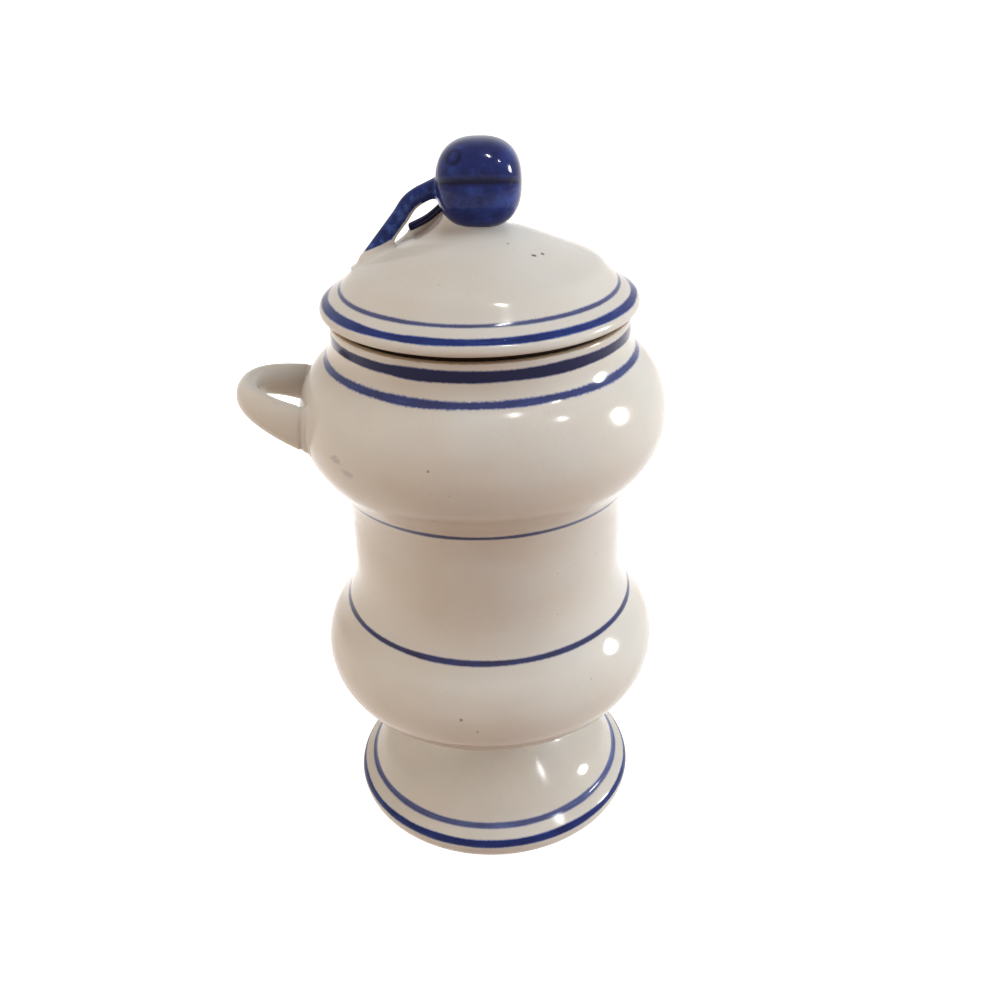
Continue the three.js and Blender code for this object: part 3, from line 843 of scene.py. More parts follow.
@dataclass(frozen=True)
class CreamGlaze(Glaze):
    """A glossy cream glaze over pale clay, with brushed bands, flecks and bare clay."""

    main: Rgba = srgb(215, 213, 206)
    warm: Rgba = srgb(207, 200, 188)
    cool: Rgba = srgb(210, 214, 212)
    clay: Rgba = srgb(190, 170, 146)
    clay_grain: Rgba = srgb(164, 140, 114)
    # Painted shade: the dark of the slot between the lid and the jar.
    slot_shade_colour: Rgba = srgb(54, 40, 30)
    speck: Rgba = srgb(132, 120, 102)
    craze: Rgba = srgb(178, 164, 144)

    def dress(
        self,
        piece: Piece,
        outline: Optional[Outline] = None,
        bands: tuple[Band, ...] = (),
        flecks: tuple[Fleck, ...] = (),
        painted: bool = False,
    ) -> None:
        """Make the glaze for one piece and put it on.

        Args:
            piece: The piece to dress.
            outline: Its outline, on which the bands find their place.
            bands: Stripes on it.
            flecks: Flecks on it.
            painted: Whether the mesh carries a paint mark in millimetres, positive where blue.
        """
        sheet, shader, place = self._open(piece)
        colour = self._ground(sheet, place)
        run = sheet.mark("run") if bands else None
        for band in bands:
            bleed, wander, ragged = band.brush.value
            stripe = sheet.group(
                self.effects.brushed_band, Place=place, Run=run,
                Centre=outline.run_at(band.radius, band.height), Half_Width=band.width / 2,
                Bleed=bleed, Wander=wander, Ragged=ragged, Seed=band.seed,
            )
            mask = sheet.times(stripe.outputs["Mask"], band.strength)
            tone = sheet.plus(stripe.outputs["Tone"], band.depth - 0.5, clamp=True)
            colour = sheet.blend(mask, colour, self.cobalt.tone(sheet, tone))
        if painted:
            mask, load = self._brushwork(sheet, place)
            colour = sheet.blend(mask, colour, self.cobalt.tone(sheet, load))
        for fleck in flecks:
            spot = (fleck.spot[0] + AXIS_X, fleck.spot[1], fleck.spot[2])
            stain = sheet.group(
                self.effects.fleck, Place=place, Spot=spot, Stretch=fleck.stretch,
                Size=fleck.size, Ragged=fleck.ragged,
            )
            share = sheet.times(stain.outputs["Mask"], fleck.strength)
            colour = sheet.blend(share, colour, fleck.colour)
        skin = sheet.group(self.effects.glaze_skin, Place=place)
        pits = sheet.times(skin.outputs["Pits"], 0.55)
        colour = sheet.blend(pits, colour, self.speck)
        gloss = sheet.spread(sheet.noise(place, 0.05, 2.0), 0.3, 0.7, 0.1, 0.17)
        height = skin.outputs["Height"]
        if outline is not None:
            bare = sheet.mark("bare")
            torn = sheet.minus(sheet.noise(place, 0.5, 3.0), 0.5)
            bare = sheet.spread(sheet.plus(bare, torn), 0.45, 0.55)
            grain = sheet.noise(place, 2.6, 4.0, 0.7)
            clay = sheet.blend(grain, self.clay, self.clay_grain)
            colour = sheet.blend(bare, colour, clay)
            # Painted shade darkens the slot between the lid and the jar.
            slot_shade_share = sheet.plus(sheet.mark("slot_shade"), sheet.times(torn, 0.5))
            colour = sheet.blend(sheet.spread(slot_shade_share, 0.1, 0.9), colour, self.slot_shade_colour)
            gloss = sheet.plus(gloss, sheet.times(bare, 0.6))
            grit = sheet.times(sheet.times(grain, bare), 0.06)
            height = sheet.plus(height, grit)
        self._coat(sheet, shader, colour, gloss, height)

    def _ground(self, sheet: Sheet, place: Socket) -> Socket:
        """The glaze's own colour with its clouds, specks and craze lines."""
        clouds = sheet.spread(sheet.noise(place, 0.03, 2.0), 0.35, 0.72)
        mist = sheet.spread(sheet.noise(place, 0.055, 2.0), 0.4, 0.75)
        colour = sheet.blend(sheet.times(clouds, 0.5), self.main, self.warm)
        colour = sheet.blend(sheet.times(mist, 0.35), colour, self.cool)
        lines = sheet.group(self.effects.crackle, Place=place, Scale=0.22, Width=0.018)
        share = sheet.times(lines.outputs["Lines"], 0.16)
        colour = sheet.blend(share, colour, self.craze)
        cells = sheet.cells("F1", place, 0.42)
        rare = sheet.spread(cells.outputs["Color"], 0.66, 0.72)
        dot = sheet.spread(cells.outputs["Distance"], 0.03, 0.09, 0.5, 0.0)
        return sheet.blend(sheet.times(dot, rare), colour, self.speck)

    @staticmethod
    def _brushwork(sheet: Sheet, place: Socket) -> tuple[Socket, Socket]:
        """Where the painted mark is positive, with a brushed edge, and how heavy the paint is."""
        torn = sheet.minus(sheet.noise(place, 0.8, 3.0, 0.6), 0.5)
        edge = sheet.plus(sheet.mark("paint"), sheet.times(torn, 0.7))
        mask = sheet.spread(edge, -0.2, 0.25)
        cloud = sheet.noise(place, 0.3, 3.0, 0.6)
        return mask, sheet.spread(cloud, 0.3, 0.7, 0.3, 0.85)


@dataclass(frozen=True)
class CobaltGlaze(Glaze):
    """A heavy, mottled coat of cobalt under a clear glossy glaze."""

    shine: float = 0.16
    cobalt: Cobalt = Cobalt(srgb(44, 66, 142), srgb(27, 37, 98), srgb(15, 17, 58))

    def dress(self, piece: Piece) -> None:
        """Make the glaze for a piece, whose mesh may carry a load mark, added to the mottling."""
        sheet, shader, place = self._open(piece)
        cloud = sheet.noise(place, 0.16, 4.0, 0.6)
        fine = sheet.noise(place, 0.8, 3.0, 0.6)
        load = sheet.plus(cloud, sheet.times(fine, 0.2))
        load = sheet.spread(load, 0.2, 0.95, 0.05, 0.95, soft=False)
        # On the fruit, the load mark adds painted shade in the suture and underneath and a painted
        # light band below the suture.
        load = sheet.plus(load, sheet.mark("load"), clamp=True)
        skin = sheet.group(self.effects.glaze_skin, Place=place, Wave=0.06)
        gloss = sheet.spread(sheet.noise(place, 0.15, 2.0), 0.3, 0.7, 0.07, 0.14)
        colour = self.cobalt.tone(sheet, load)
        self._coat(sheet, shader, colour, gloss, skin.outputs["Height"])


def place_on_frame(piece: Piece, body: str, slot: str, *nodes: str) -> None:
    """Let a piece ride on a body and stand for nodes of the frame.

    Args:
        piece: The finished piece.
        body: Body of the frame that it moves with.
        slot: Material slot of the record; not used.
        nodes: Nodes of the frame that it stands for.
    """
    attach(piece, body)
    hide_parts(*nodes)
    faces = len(piece.data.polygons)
    LOG.info("%s rides on %s for %s with %d faces", piece.name, body, ", ".join(nodes), faces)


# Sub-assemblies.


@dataclass
class Turned:
    """A piece turned round the jar's axis, with its bands and flecks."""

    name: str
    node: str
    body: str
    sides: int
    throwing: Throwing
    bands: tuple[Band, ...] = ()
    flecks: tuple[Fleck, ...] = ()

    def outline(self) -> Outline:
        """The closed section of the piece."""
        raise NotImplementedError

    def build(self, glaze: CreamGlaze) -> None:
        """Turn the piece, glaze it and set it on the frame."""
        outline = self.outline()
        piece = lathe(self.name, outline, self.sides, self.throwing)
        glaze.dress(piece, outline, self.bands, self.flecks)
        place_on_frame(piece, self.body, "cream_glaze", self.node)


@dataclass
class DoubleBulbBody(Turned):
    """The hollow wall with two bulbs, a straight waist and a short neck."""

    name: str = "body_wall"
    node: str = "jar_body"
    body: str = JAR_BODY
    sides: int = 200
    throwing: Throwing = Throwing(seed=0.7)
    floor: float = 48.6
    wall: float = 4.7
    low_ring: float = 40.6
    low_radius: float = 22.7
    low_fillet: float = 35.5
    waist: float = 50.0
    spacing: float = 94.6
    high_ring: float = 38.4
    high_radius: float = 26.6
    high_fillet: float = 31.0
    neck: float = 51.6
    neck_fillet: float = 13.0
    mouth_above: float = 35.1
    mouth_edge: float = 1.2
    bands: tuple[Band, ...] = (
        Band(52.1, 196.7, 3.9, Brush.BANDER, 1.0, 1.0, 0.95),
        Band(54.0, 188.6, 2.8, Brush.WET, 2.0, 0.95, 0.5),
        Band(53.8, 141.2, 2.0, Brush.LINER, 3.0, 0.9, 0.55),
        Band(53.8, 92.0, 2.1, Brush.LINER, 4.0, 0.95, 0.7),
    )
    flecks: tuple[Fleck, ...] = (
        Fleck((-11.3, -62.1, 74.3), 0.75, 0.65),
        Fleck((-5.8, -63.0, 69.5), 0.6, 0.55),
        Fleck((-17.4, -62.2, 170.7), 0.6, 0.6),
        Fleck((-48.0, -43.8, 166.9), 3.2, 0.3, (1.0, 1.0, 0.5), srgb(96, 106, 138), 2.2),
        Fleck((-44.0, -47.6, 163.6), 3.8, 0.26, (1.0, 1.0, 0.4), srgb(96, 106, 138), 2.2),
    )

    @property
    def low_height(self) -> float:
        """Height of the lower bulb's widest ring."""
        return self.floor + self.low_radius

    @property
    def high_height(self) -> float:
        """Height of the upper bulb's widest ring."""
        return self.low_height + self.spacing

    @property
    def mouth(self) -> float:
        """Height of the mouth."""
        return self.high_height + self.mouth_above

    @staticmethod
    def _fillet(ring: float, bulb: float, straight: float, fillet: float) -> tuple[float, float]:
        """Rise of a fillet's centre off its bulb's, and the angle at which it leaves the bulb."""
        across = straight + fillet - ring
        rise = math.sqrt((bulb + fillet) ** 2 - across**2)
        return rise, math.degrees(math.atan2(rise, across))

    def line(self, depth: float) -> list[np.ndarray]:
        """The wall's line at a depth below its glazed face, from the floor to the mouth."""
        low_rise, low = self._fillet(self.low_ring, self.low_radius, self.waist, self.low_fillet)
        high_rise, high = self._fillet(
            self.high_ring, self.high_radius, self.waist, self.high_fillet
        )
        neck_rise, neck = self._fillet(
            self.high_ring, self.high_radius, self.neck, self.neck_fillet
        )
        low_ball, high_ball = self.low_radius - depth, self.high_radius - depth
        low_round, high_round = self.low_fillet + depth, self.high_fillet + depth
        neck_round = self.neck_fillet + depth
        return [
            arc(self.low_ring, self.low_height, low_ball, -90, low, 72),
            arc(
                self.waist + self.low_fillet, self.low_height + low_rise, low_round,
                low + 180, 180, 20,
            ),
            arc(
                self.waist + self.high_fillet, self.high_height - high_rise, high_round,
                180, 180 - high, 20,
            ),
            arc(self.high_ring, self.high_height, high_ball, -high, neck, 64),
            arc(
                self.neck + self.neck_fillet, self.high_height + neck_rise, neck_round,
                neck + 180, 180, 14,
            ),
        ]

    def outline(self) -> Outline:
        """The whole section: outside up, over the mouth and down inside."""
        inner, edge = self.neck - self.wall, self.mouth_edge
        inside = [piece[::-1] for piece in reversed(self.line(self.wall))]
        outline = Outline.through(
            np.array([0.0, self.floor]),
            *self.line(0),
            arc(self.neck - edge, self.mouth - edge, edge, 0, 90, 6),
            arc(inner + edge, self.mouth - edge, edge, 90, 180, 6),
            *inside,
            np.array([0.0, self.floor + self.wall]),
            step=1.2,
        )
        outline.leave_bare((self.neck + inner) / 2, self.mouth, 2.2)
        # Painted shade on the mouth's top, in the slot under the lid's rim.
        outline.paint_slot_shade(self.neck - 2.3, self.mouth, 1.0)
        return outline


@dataclass
class SpreadingFoot(Turned):
    """The hollow foot: a neck, a cone over a steeper skirt and a rolled lip on a bare ring."""

    name: str = "foot_cone"
    node: str = "foot"
    body: str = JAR_BODY
    sides: int = 176
    throwing: Throwing = Throwing(oval=0.1, seed=2.1)
    height: float = 48.3
    wall: float = 6.0
    lip_radius: float = 55.8
    lip_height: float = 5.6
    lip_round: float = 4.3
    sole: float = 7.0
    ring_width: float = 5.0
    ring_lean: float = 1.0
    ring_rise: float = 2.0
    ring_round: float = 3.0
    stripe_radius: float = 50.1
    stripe_height: float = 12.1
    stripe_round: float = 3.0
    skirt_slope: float = 54.0
    shoulder: float = 45.1
    shoulder_round: float = 20.0
    cone_slope: float = 40.0
    neck: float = 29.3
    neck_fillet: float = 20.0
    flare: float = 3.0
    flare_stop: float = 105.0
    bands: tuple[Band, ...] = (
        Band(50.1, 12.1, 2.6, Brush.LINER, 5.0, 0.9, 0.35),
        Band(54.4, 7.4, 2.9, Brush.BANDER, 6.0, 1.0, 0.55),
    )

    def cone_at(self, radius: float) -> float:
        """Height of the cone's face at a radius, as if it had no skirt or neck."""
        skirt = (self.stripe_radius - self.shoulder) * math.tan(math.radians(self.skirt_slope))
        cone = (self.shoulder - radius) * math.tan(math.radians(self.cone_slope))
        return self.stripe_height + skirt + cone

    def outer(self) -> list[np.ndarray]:
        """The outer line, from the standing ring up to the seat under the body."""
        drop = math.degrees(math.asin(min(1.0, self.lip_height / self.sole)))
        stripe = np.array([self.stripe_radius, self.stripe_height])
        centre = np.array([self.lip_radius - self.lip_round, self.lip_height])
        gap = stripe - centre
        length = float(np.linalg.norm(gap))
        touching = math.degrees(
            math.atan2(gap[1], gap[0]) - math.acos(min(1.0, self.lip_round / length))
        )
        lip = arc(centre[0], centre[1], self.lip_round, 0, touching, 14)
        shoulder = np.array([self.shoulder, self.cone_at(self.shoulder)])
        top = np.array([self.neck, self.cone_at(self.neck)])
        flare = arc(
            self.neck + self.flare, self.height - self.flare, self.flare,
            180, self.flare_stop, 8,
        )
        return [
            arc(self.lip_radius - self.sole, self.lip_height, self.sole, -drop, 0, 12),
            lip,
            rounded(lip[-1], stripe, shoulder, self.stripe_round, 4),
            rounded(stripe, shoulder, top, self.shoulder_round, 8),
            rounded(shoulder, top, flare[0], self.neck_fillet, 14),
            flare,
            np.array([flare[-1][0], self.height]),
        ]

    def outline(self) -> Outline:
        """The closed section of the foot's wall."""
        outer = self.outer()
        inside = self.neck - self.wall
        ring_inside = outer[0][0][0] - self.ring_width
        ring = np.array([ring_inside, 0.0])
        drop = self.wall / math.cos(math.radians(self.cone_slope))
        edge = ring_inside - self.ring_lean
        low = np.array([edge, max(self.cone_at(edge) - drop, self.ring_rise)])
        top = np.array([inside, self.cone_at(inside) - drop])
        seat = np.array([inside, self.height])
        outline = Outline.through(
            *outer,
            seat,
            rounded(seat, top, low, self.neck_fillet, 8),
            rounded(top, low, ring, self.ring_round, 5),
            ring,
            outer[0][0],
            step=1.2,
        )
        outline.points = outline.points[:-1]
        outline.bare = outline.bare[:-1]
        outline.slot_shade = outline.slot_shade[:-1]
        outline.leave_bare(outer[0][0][0] - self.ring_width / 2, 0.0, 4.0)
        return outline


@dataclass
class LoopHandle:
    """The loop on the upper bulb, drawn into it at both roots."""

    body: DoubleBulbBody
    reach: float = 25.3
    half_width: float = 19.6
    root_depth: float = 7.6
    tilt: float = 18.6
    pivot_depth: float = 3.8
    above_bulb: float = 3.2
    shift: float = -5.6
    turn: float = -2.2
    root_half_height: float = 8.2
    tip_half_height: float = 5.1
    root_half_thickness: float = 4.2
    tip_half_thickness: float = 3.9
    nose: float = 1.13
    side: float = 0.87
    fillet: float = 0.9
    sink: float = 1.6
    crease_at: float = 1.8
    crease_width: float = 0.55
    crease_depth: float = 0.4
    steps: int = 72
    root_run: float = 8.0
    cell: float = 0.45

    def _to_loop(self, points: np.ndarray) -> np.ndarray:
        """Turn points of the jar into the loop's own level frame."""
        low = np.array([0, self.shift, self.body.high_height + self.above_bulb])
        pivot = self.body.high_ring + self.body.high_radius - self.pivot_depth
        moved = spun(points - low, -self.turn) + np.array([pivot, 0, 0])
        angle = -math.radians(self.tilt)
        lean = np.array([
            [math.cos(angle), 0, math.sin(angle)], [0, 1, 0],
            [-math.sin(angle), 0, math.cos(angle)],
        ])
        return moved @ lean.T - np.array([pivot, 0, 0])

    def _centre_line(self) -> tuple[np.ndarray, np.ndarray]:
        """The loop's centre line, and how near each point is to the loop's end."""
        angle = np.radians(np.linspace(-90, 90, self.steps + 1))
        root = self.body.high_ring + self.body.high_radius - self.root_depth
        out = self.reach * np.abs(np.cos(angle)) ** self.nose
        across = self.half_width * np.sign(np.sin(angle)) * np.abs(np.sin(angle)) ** self.side
        line = np.column_stack((-(root + out), across, np.zeros(len(angle))))
        inward = np.array([self.root_run, 0.0, 0.0])
        line = np.vstack((line[0] + inward, line, line[-1] + inward))
        return line, np.r_[0, np.cos(angle), 0]

    def loop(self, points: np.ndarray) -> np.ndarray:
        """Distance to the loop's skin."""
        local = self._to_loop(points)
        line, ends = self._centre_line()
        flat = local.copy()
        flat[:, 2] = 0
        spot, share = nearest_on_line(flat, line)
        travelled = np.r_[0, np.cumsum(np.linalg.norm(np.diff(line, axis=0), axis=1))]
        end = np.interp(share, travelled / travelled[-1], ends)
        half_height = self.root_half_height + (self.tip_half_height - self.root_half_height) * end
        half_thickness = (
            self.root_half_thickness + (self.tip_half_thickness - self.root_half_thickness) * end
        )
        across = np.linalg.norm(flat - spot, axis=1)
        height = local[:, 2]
        ratio = np.sqrt((across / half_thickness) ** 2 + (height / half_height) ** 2)
        length = np.sqrt(across**2 + height**2)
        return (ratio - 1) * length / np.maximum(ratio, 1e-6)

    def bulb(self, points: np.ndarray) -> np.ndarray:
        """Distance to the upper bulb's skin."""
        radius = np.hypot(points[:, 0], points[:, 1])
        gap = np.hypot(radius - self.body.high_ring, points[:, 2] - self.body.high_height)
        return gap - self.body.high_radius

    def form(self, points: np.ndarray) -> np.ndarray:
        """Distance to the loop with its creased roots, cut off just inside the bulb."""
        loop, bulb = self.loop(points), self.bulb(points)
        crease = np.exp(-(((bulb - self.crease_at) / self.crease_width) ** 2))
        loop = loop + self.crease_depth * crease
        return grown(loop, bulb, self.fillet, self.sink)

    def build(self, glaze: CreamGlaze) -> None:
        """Mesh the handle and glaze it."""
        vertices, faces = skin_of(self.form, (-90, -34, 152), (-44, 28, 190), self.cell)
        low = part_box("handle")[0][0] / MM - AXIS_X + 0.02
        vertices[:, 0] = np.maximum(vertices[:, 0], low)
        piece = make_object("handle_loop", vertices, faces)
        glaze.dress(piece)
        place_on_frame(piece, JAR_BODY, "cream_glaze", "handle")


@dataclass
class DomedLid(Turned):
    """The lid: crown, cone, shoulder, sloping brim, rolled rim, seat and flange."""

    name: str = "lid_dome"
    node: str = "lid"
    body: str = LID_BODY
    sides: int = 192
    throwing: Throwing = Throwing(0.12, 0.04, seed=4.2)
    seat: float = 201.3
    seat_outside: float = 49.4
    rim_lift: float = 0.8
    rim: float = 54.2
    bead: float = 2.7
    bead_under: float = 1.7
    brim_slope: float = 33.0
    cove: float = 47.2
    cove_fillet: float = 8.0
    rise_slope: float = 47.0
    shoulder: float = 41.4
    shoulder_fillet: float = 10.0
    dome_slope: float = 23.3
    crown: float = 56.0
    wall: float = 4.5
    flange_outside: float = 45.6
    flange_depth: float = 9.0
    flange_thickness: float = 3.6
    flange_edge: float = 1.1
    inner_fillet: float = 7.0
    bands: tuple[Band, ...] = (
        Band(47.3, 211.4, 1.5, Brush.LINER, 7.0, 0.9, 0.5),
        Band(51.7, 208.2, 3.1, Brush.BANDER, 8.0, 1.0, 0.5),
    )
    flecks: tuple[Fleck, ...] = (
        Fleck((17.7, -18.0, 224.0), 0.8, 0.85, (1.6, 1.0, 1.0)),
        Fleck((20.6, -15.6, 223.8), 0.7, 0.85, (1.4, 1.2, 1.0)),
        Fleck((-26.8, 8.4, 222.8), 0.6, 0.6),
        Fleck((9.6, -14.6, 227.1), 0.7, 0.4),
    )

    @property
    def bead_centre(self) -> np.ndarray:
        """Centre of the rolled rim."""
        return np.array([self.rim - self.bead, self.seat + self.rim_lift + self.bead])

    def corners(self) -> tuple[np.ndarray, np.ndarray, np.ndarray, float, float]:
        """The brim's end, cove, shoulder, height of the cone's tip and of the crown's centre."""
        centre = self.bead_centre
        brim = arc(centre[0], centre[1], self.bead, 90 - self.brim_slope, 0, 1)[0]
        lift = (brim[0] - self.cove) * math.tan(math.radians(self.brim_slope))
        cove = np.array([self.cove, brim[1] + lift])
        rise = (self.cove - self.shoulder) * math.tan(math.radians(self.rise_slope))
        shoulder = np.array([self.shoulder, cove[1] + rise])
        slope = math.radians(self.dome_slope)
        tip = shoulder[1] + self.shoulder * math.tan(slope)
        return brim, cove, shoulder, tip, tip - self.crown / math.cos(slope)

    def dome_height(self, reach: np.ndarray) -> np.ndarray:
        """Height of the dome's face at a distance from the axis."""
        _, _, _, tip, centre = self.corners()
        slope = math.radians(self.dome_slope)
        on_crown = centre + np.sqrt(np.maximum(self.crown**2 - reach**2, 0))
        on_cone = tip - reach * math.tan(slope)
        return np.where(reach < self.crown * math.sin(slope), on_crown, on_cone)

    def dome(self, points: np.ndarray) -> np.ndarray:
        """Distance to the dome's face, from which the knob grows."""
        _, _, _, tip, centre = self.corners()
        slope = math.radians(self.dome_slope)
        reach = np.hypot(points[:, 0], points[:, 1])
        up = points[:, 2] - centre
        on_crown = np.hypot(reach, up) - self.crown
        on_cone = reach * math.sin(slope) + (points[:, 2] - tip) * math.cos(slope)
        return np.where(np.arctan2(reach, up) < slope, on_crown, on_cone)

    def outline(self) -> Outline:
        """The whole section: crown, rim, seat, flange and the hollow below."""
        brim, cove, shoulder, tip, centre = self.corners()
        slope = math.radians(self.dome_slope)
        crown = arc(0, centre, self.crown, 90, 90 - self.dome_slope, 24)
        crown[0][0] = 0
        inside = self.flange_outside - self.flange_thickness
        foot = self.seat - self.flange_depth + self.flange_edge
        edge = self.flange_edge
        inner_tip = tip - self.wall / math.cos(slope)
        corner = np.array([inside, inner_tip - inside * math.tan(slope)])
        hollow = arc(0, centre, self.crown - self.wall, 90 - self.dome_slope, 90, 16)
        hollow[-1][0] = 0
        middle = self.bead_centre
        under = arc(middle[0], 0, self.bead, 0, -90, 12)
        under[:, 1] = middle[1] + under[:, 1] * self.bead_under / self.bead
        outline = Outline.through(
            crown,
            rounded(crown[-1], shoulder, cove, self.shoulder_fillet, 10),
            rounded(shoulder, cove, brim, self.cove_fillet, 8),
            arc(middle[0], middle[1], self.bead, 90 - self.brim_slope, 0, 12),
            under,
            np.array([self.seat_outside, under[-1][1]]),
            np.array([self.seat_outside, self.seat]),
            np.array([self.flange_outside, self.seat]),
            arc(self.flange_outside - edge, foot, edge, 0, -90, 5),
            arc(inside + edge, foot, edge, -90, -180, 5),
            rounded(np.array([inside, foot]), corner, hollow[0], self.inner_fillet, 8),
            hollow,
            step=1.2,
        )
        outline.leave_bare(self.flange_outside + 2.0, self.seat, 4.4)
        # Painted shade on the seat, in the slot over the jar's mouth.
        outline.paint_slot_shade(self.seat_outside, self.seat + 1.0, 3.0)
        return outline


@dataclass
class FruitKnob:
    """The knob: a fruit on a collar of clay, with its stem and a cut twig behind it."""

    lid: DomedLid
    length: float = 27.9
    height: float = 28.3
    squareness: float = 2.5
    offset: float = 1.0
    foot_rise: float = 0.7
    flat: float = 1.2
    turn: float = -4.0
    suture_depth: float = 0.7
    suture_width: float = 6.0
    suture_rise: float = 8.5
    dimple_depth: float = 1.1
    dimple_radius: float = 4.0
    swirl: Spot = (-6.9, -9.6, 9.6)
    swirl_radius: float = 2.3
    swirl_width: float = 0.6
    # Painted shade in the suture and on the underside, and a painted light band below the suture;
    # loads gives their shares, then the swirl's.
    crease_width: float = 3.2
    lit_band_at: float = -14.0
    lit_band_width: float = 9.0
    loads: tuple[float, ...] = (0.8, -0.35, 0.25, 0.5)
    divisions: tuple[int, int] = (90, 144)
    collar_turn: float = -25.0
    collar_narrowness: float = 5.0
    collar_foot: tuple[float, float] = (12.5, 16.8)
    collar_top: tuple[float, float] = (8.2, 10.2)
    collar_rise: tuple[float, float] = (0.5, 9.5)
    collar_sink: float = 1.0
    collar_fillet: float = 4.0
    stem_radius: float = 2.9
    stem_root_flare: float = 3.4
    stem_root: float = 5.0
    stem_root_rise: float = -2.05
    arch_reach: float = 21.2
    arch_rise: float = 8.0
    knee_reach: float = 25.6
    knee_rise: float = 2.5
    land_reach: float = 36.8
    land_depth: float = 0.3
    stem_fillet: float = 4.0
    bare_above: float = 2.9
    sunk: float = 0.22
    cut: float = 1.4
    twig_radius: float = 1.6
    twig_sag: float = 1.0
    twig_fillet: float = 1.6
    twig_load: float = 0.35
    bed_depth: float = 1.6
    bed_radius: float = 1.2
    bed_slope: float = 1.0
    bed_fillet: float = 3.0
    cell: float = 0.4

    @property
    def crown(self) -> float:
        """Height of the dome at the axis."""
        return float(self.lid.dome_height(np.array([0.0]))[0])

    @property
    def fruit_foot(self) -> float:
        """Height of the fruit's flat."""
        return self.crown + self.foot_rise

    @property
    def fruit_middle(self) -> float:
        """Height of the fruit's own axis."""
        return self.fruit_foot - self.flat + self.height / 2

    def _own(self, points: np.ndarray) -> np.ndarray:
        """Turn points of the jar into the knob's own frame."""
        return spun(points, -self.turn)

    def fruit_near(self, points: np.ndarray) -> np.ndarray:
        """Distance to the fruit's skin without its creases, near enough for fillets."""
        own = self._own(points) - np.array([self.offset, 0, self.fruit_middle])
        half = np.array([self.length, self.height, self.height]) / 2
        power = self.squareness
        ratio = ((np.abs(own) / half) ** power).sum(axis=1) ** (1 / power)
        length = np.linalg.norm(own, axis=1)
        return (ratio - 1) * length / np.maximum(ratio, 1e-6)

    def build_fruit(self, glaze: CobaltGlaze) -> None:
        """Mesh the fruit with its suture and dimple, and glaze it.

        The load mark darkens the suture and the fruit's underside as painted shade, lightens
        a band below the suture towards the right as painted light, and is heavier in the swirl.
        """
        stations, sides = self.divisions
        power = 2 / self.squareness
        turn = np.linspace(0, 2 * np.pi, sides, endpoint=False)
        rings, loads = [], []
        for along in np.linspace(0, np.pi, stations + 1)[1:-1]:
            reach = math.copysign(abs(math.cos(along)) ** power, math.cos(along))
            girth = self.height / 2 * math.sin(along) ** power
            signed = np.degrees(np.arctan2(np.sin(turn), np.cos(turn)))
            off = signed - self.suture_rise
            groove = self.suture_depth * np.exp(-((off / self.suture_width) ** 2))
            groove = groove * math.sin(along)
            radius = girth - groove
            dent = np.zeros(sides)
            if reach < 0:
                dent = self.dimple_depth * np.exp(-((radius / self.dimple_radius) ** 2))
            x = reach * self.length / 2 + dent
            y = np.sign(np.cos(turn)) * np.abs(np.cos(turn)) ** power
            z = np.sign(np.sin(turn)) * np.abs(np.sin(turn)) ** power
            rings.append(np.column_stack((x, -radius * y, radius * z)))
            # Painted shade: heavier paint darkens the suture's groove.
            crease = np.exp(-((off / self.crease_width) ** 2))
            # Painted light: thinner paint makes a lighter band below the suture, strongest on the
            # right.
            below = np.exp(-(((signed - self.lit_band_at) / self.lit_band_width) ** 2))
            below = below * min(max(0.45 + reach, 0.15), 1.0)
            # Painted shade: heavier paint darkens the fruit's underside.
            foot = np.clip((-signed - 40) / 40, 0, 1) * (np.abs(signed) < 140)
            swirl = np.linalg.norm(rings[-1] - np.array(self.swirl), axis=1) - self.swirl_radius
            swirl = np.exp(-((swirl / self.swirl_width) ** 2))
            marks = zip(self.loads, (crease, below, foot, swirl))
            loads.append(sum(share * mark for share, mark in marks))
        skin = np.vstack(rings)
        ends = np.array([[self.length / 2, 0, 0], [-self.length / 2 + self.dimple_depth, 0, 0]])
        faces = ring_faces(len(rings), sides)
        faces += fan_faces(len(skin), 0, sides, turned=True)
        faces += fan_faces(len(skin) + 1, (len(rings) - 1) * sides, sides, turned=False)
        skin = np.vstack((skin, ends)) + np.array([self.offset, 0, self.fruit_middle])
        skin[:, 2] = np.maximum(skin[:, 2], self.fruit_foot)
        load = np.r_[np.concatenate(loads), 0, 0]
        faces = [face[::-1] for face in faces]
        piece = make_object("knob_cherry", spun(skin, self.turn), faces, {"load": load})
        glaze.dress(piece)
        place_on_frame(piece, LID_BODY, "cobalt_glaze", "knob_fruit")

    def stem_line(self) -> np.ndarray:
        """The stem's centre line, in the knob's own frame."""
        start = self.length / 2 - self.offset - self.dimple_depth - self.stem_radius
        root = self.fruit_middle + self.stem_root_rise
        land = float(self.lid.dome_height(np.array([self.land_reach]))[0]) - self.land_depth
        return smooth_path(
            [
                (-start, 0, root), (-(start + self.stem_root), 0, root),
                (-self.arch_reach, 0, self.crown + self.arch_rise),
                (-self.knee_reach, 0, self.crown + self.knee_rise),
                (-self.land_reach, 0, land),
            ],
            60,
        )

    def stem(self, points: np.ndarray) -> np.ndarray:
        """Distance to the stem's skin."""
        own = self._own(points)
        spot, share = nearest_on_line(own, self.stem_line())
        flare = self.stem_root_flare * np.maximum(0, 1 - 5 * share) ** 2
        return np.linalg.norm(own - spot, axis=1) - self.stem_radius - flare

    def stem_form(self, points: np.ndarray) -> np.ndarray:
        """Distance to the stem with its fillets, cut off inside the dome and the fruit."""
        stem, dome, fruit = self.stem(points), self.lid.dome(points), self.fruit_near(points)
        joined = soft_union(stem, dome + self.sunk, self.stem_fillet)
        joined = soft_union(joined, fruit, 1.2) + 0.03
        cut = -self.cut - np.minimum(dome, fruit)
        return np.maximum(np.maximum(joined, cut), stem - self.stem_fillet)

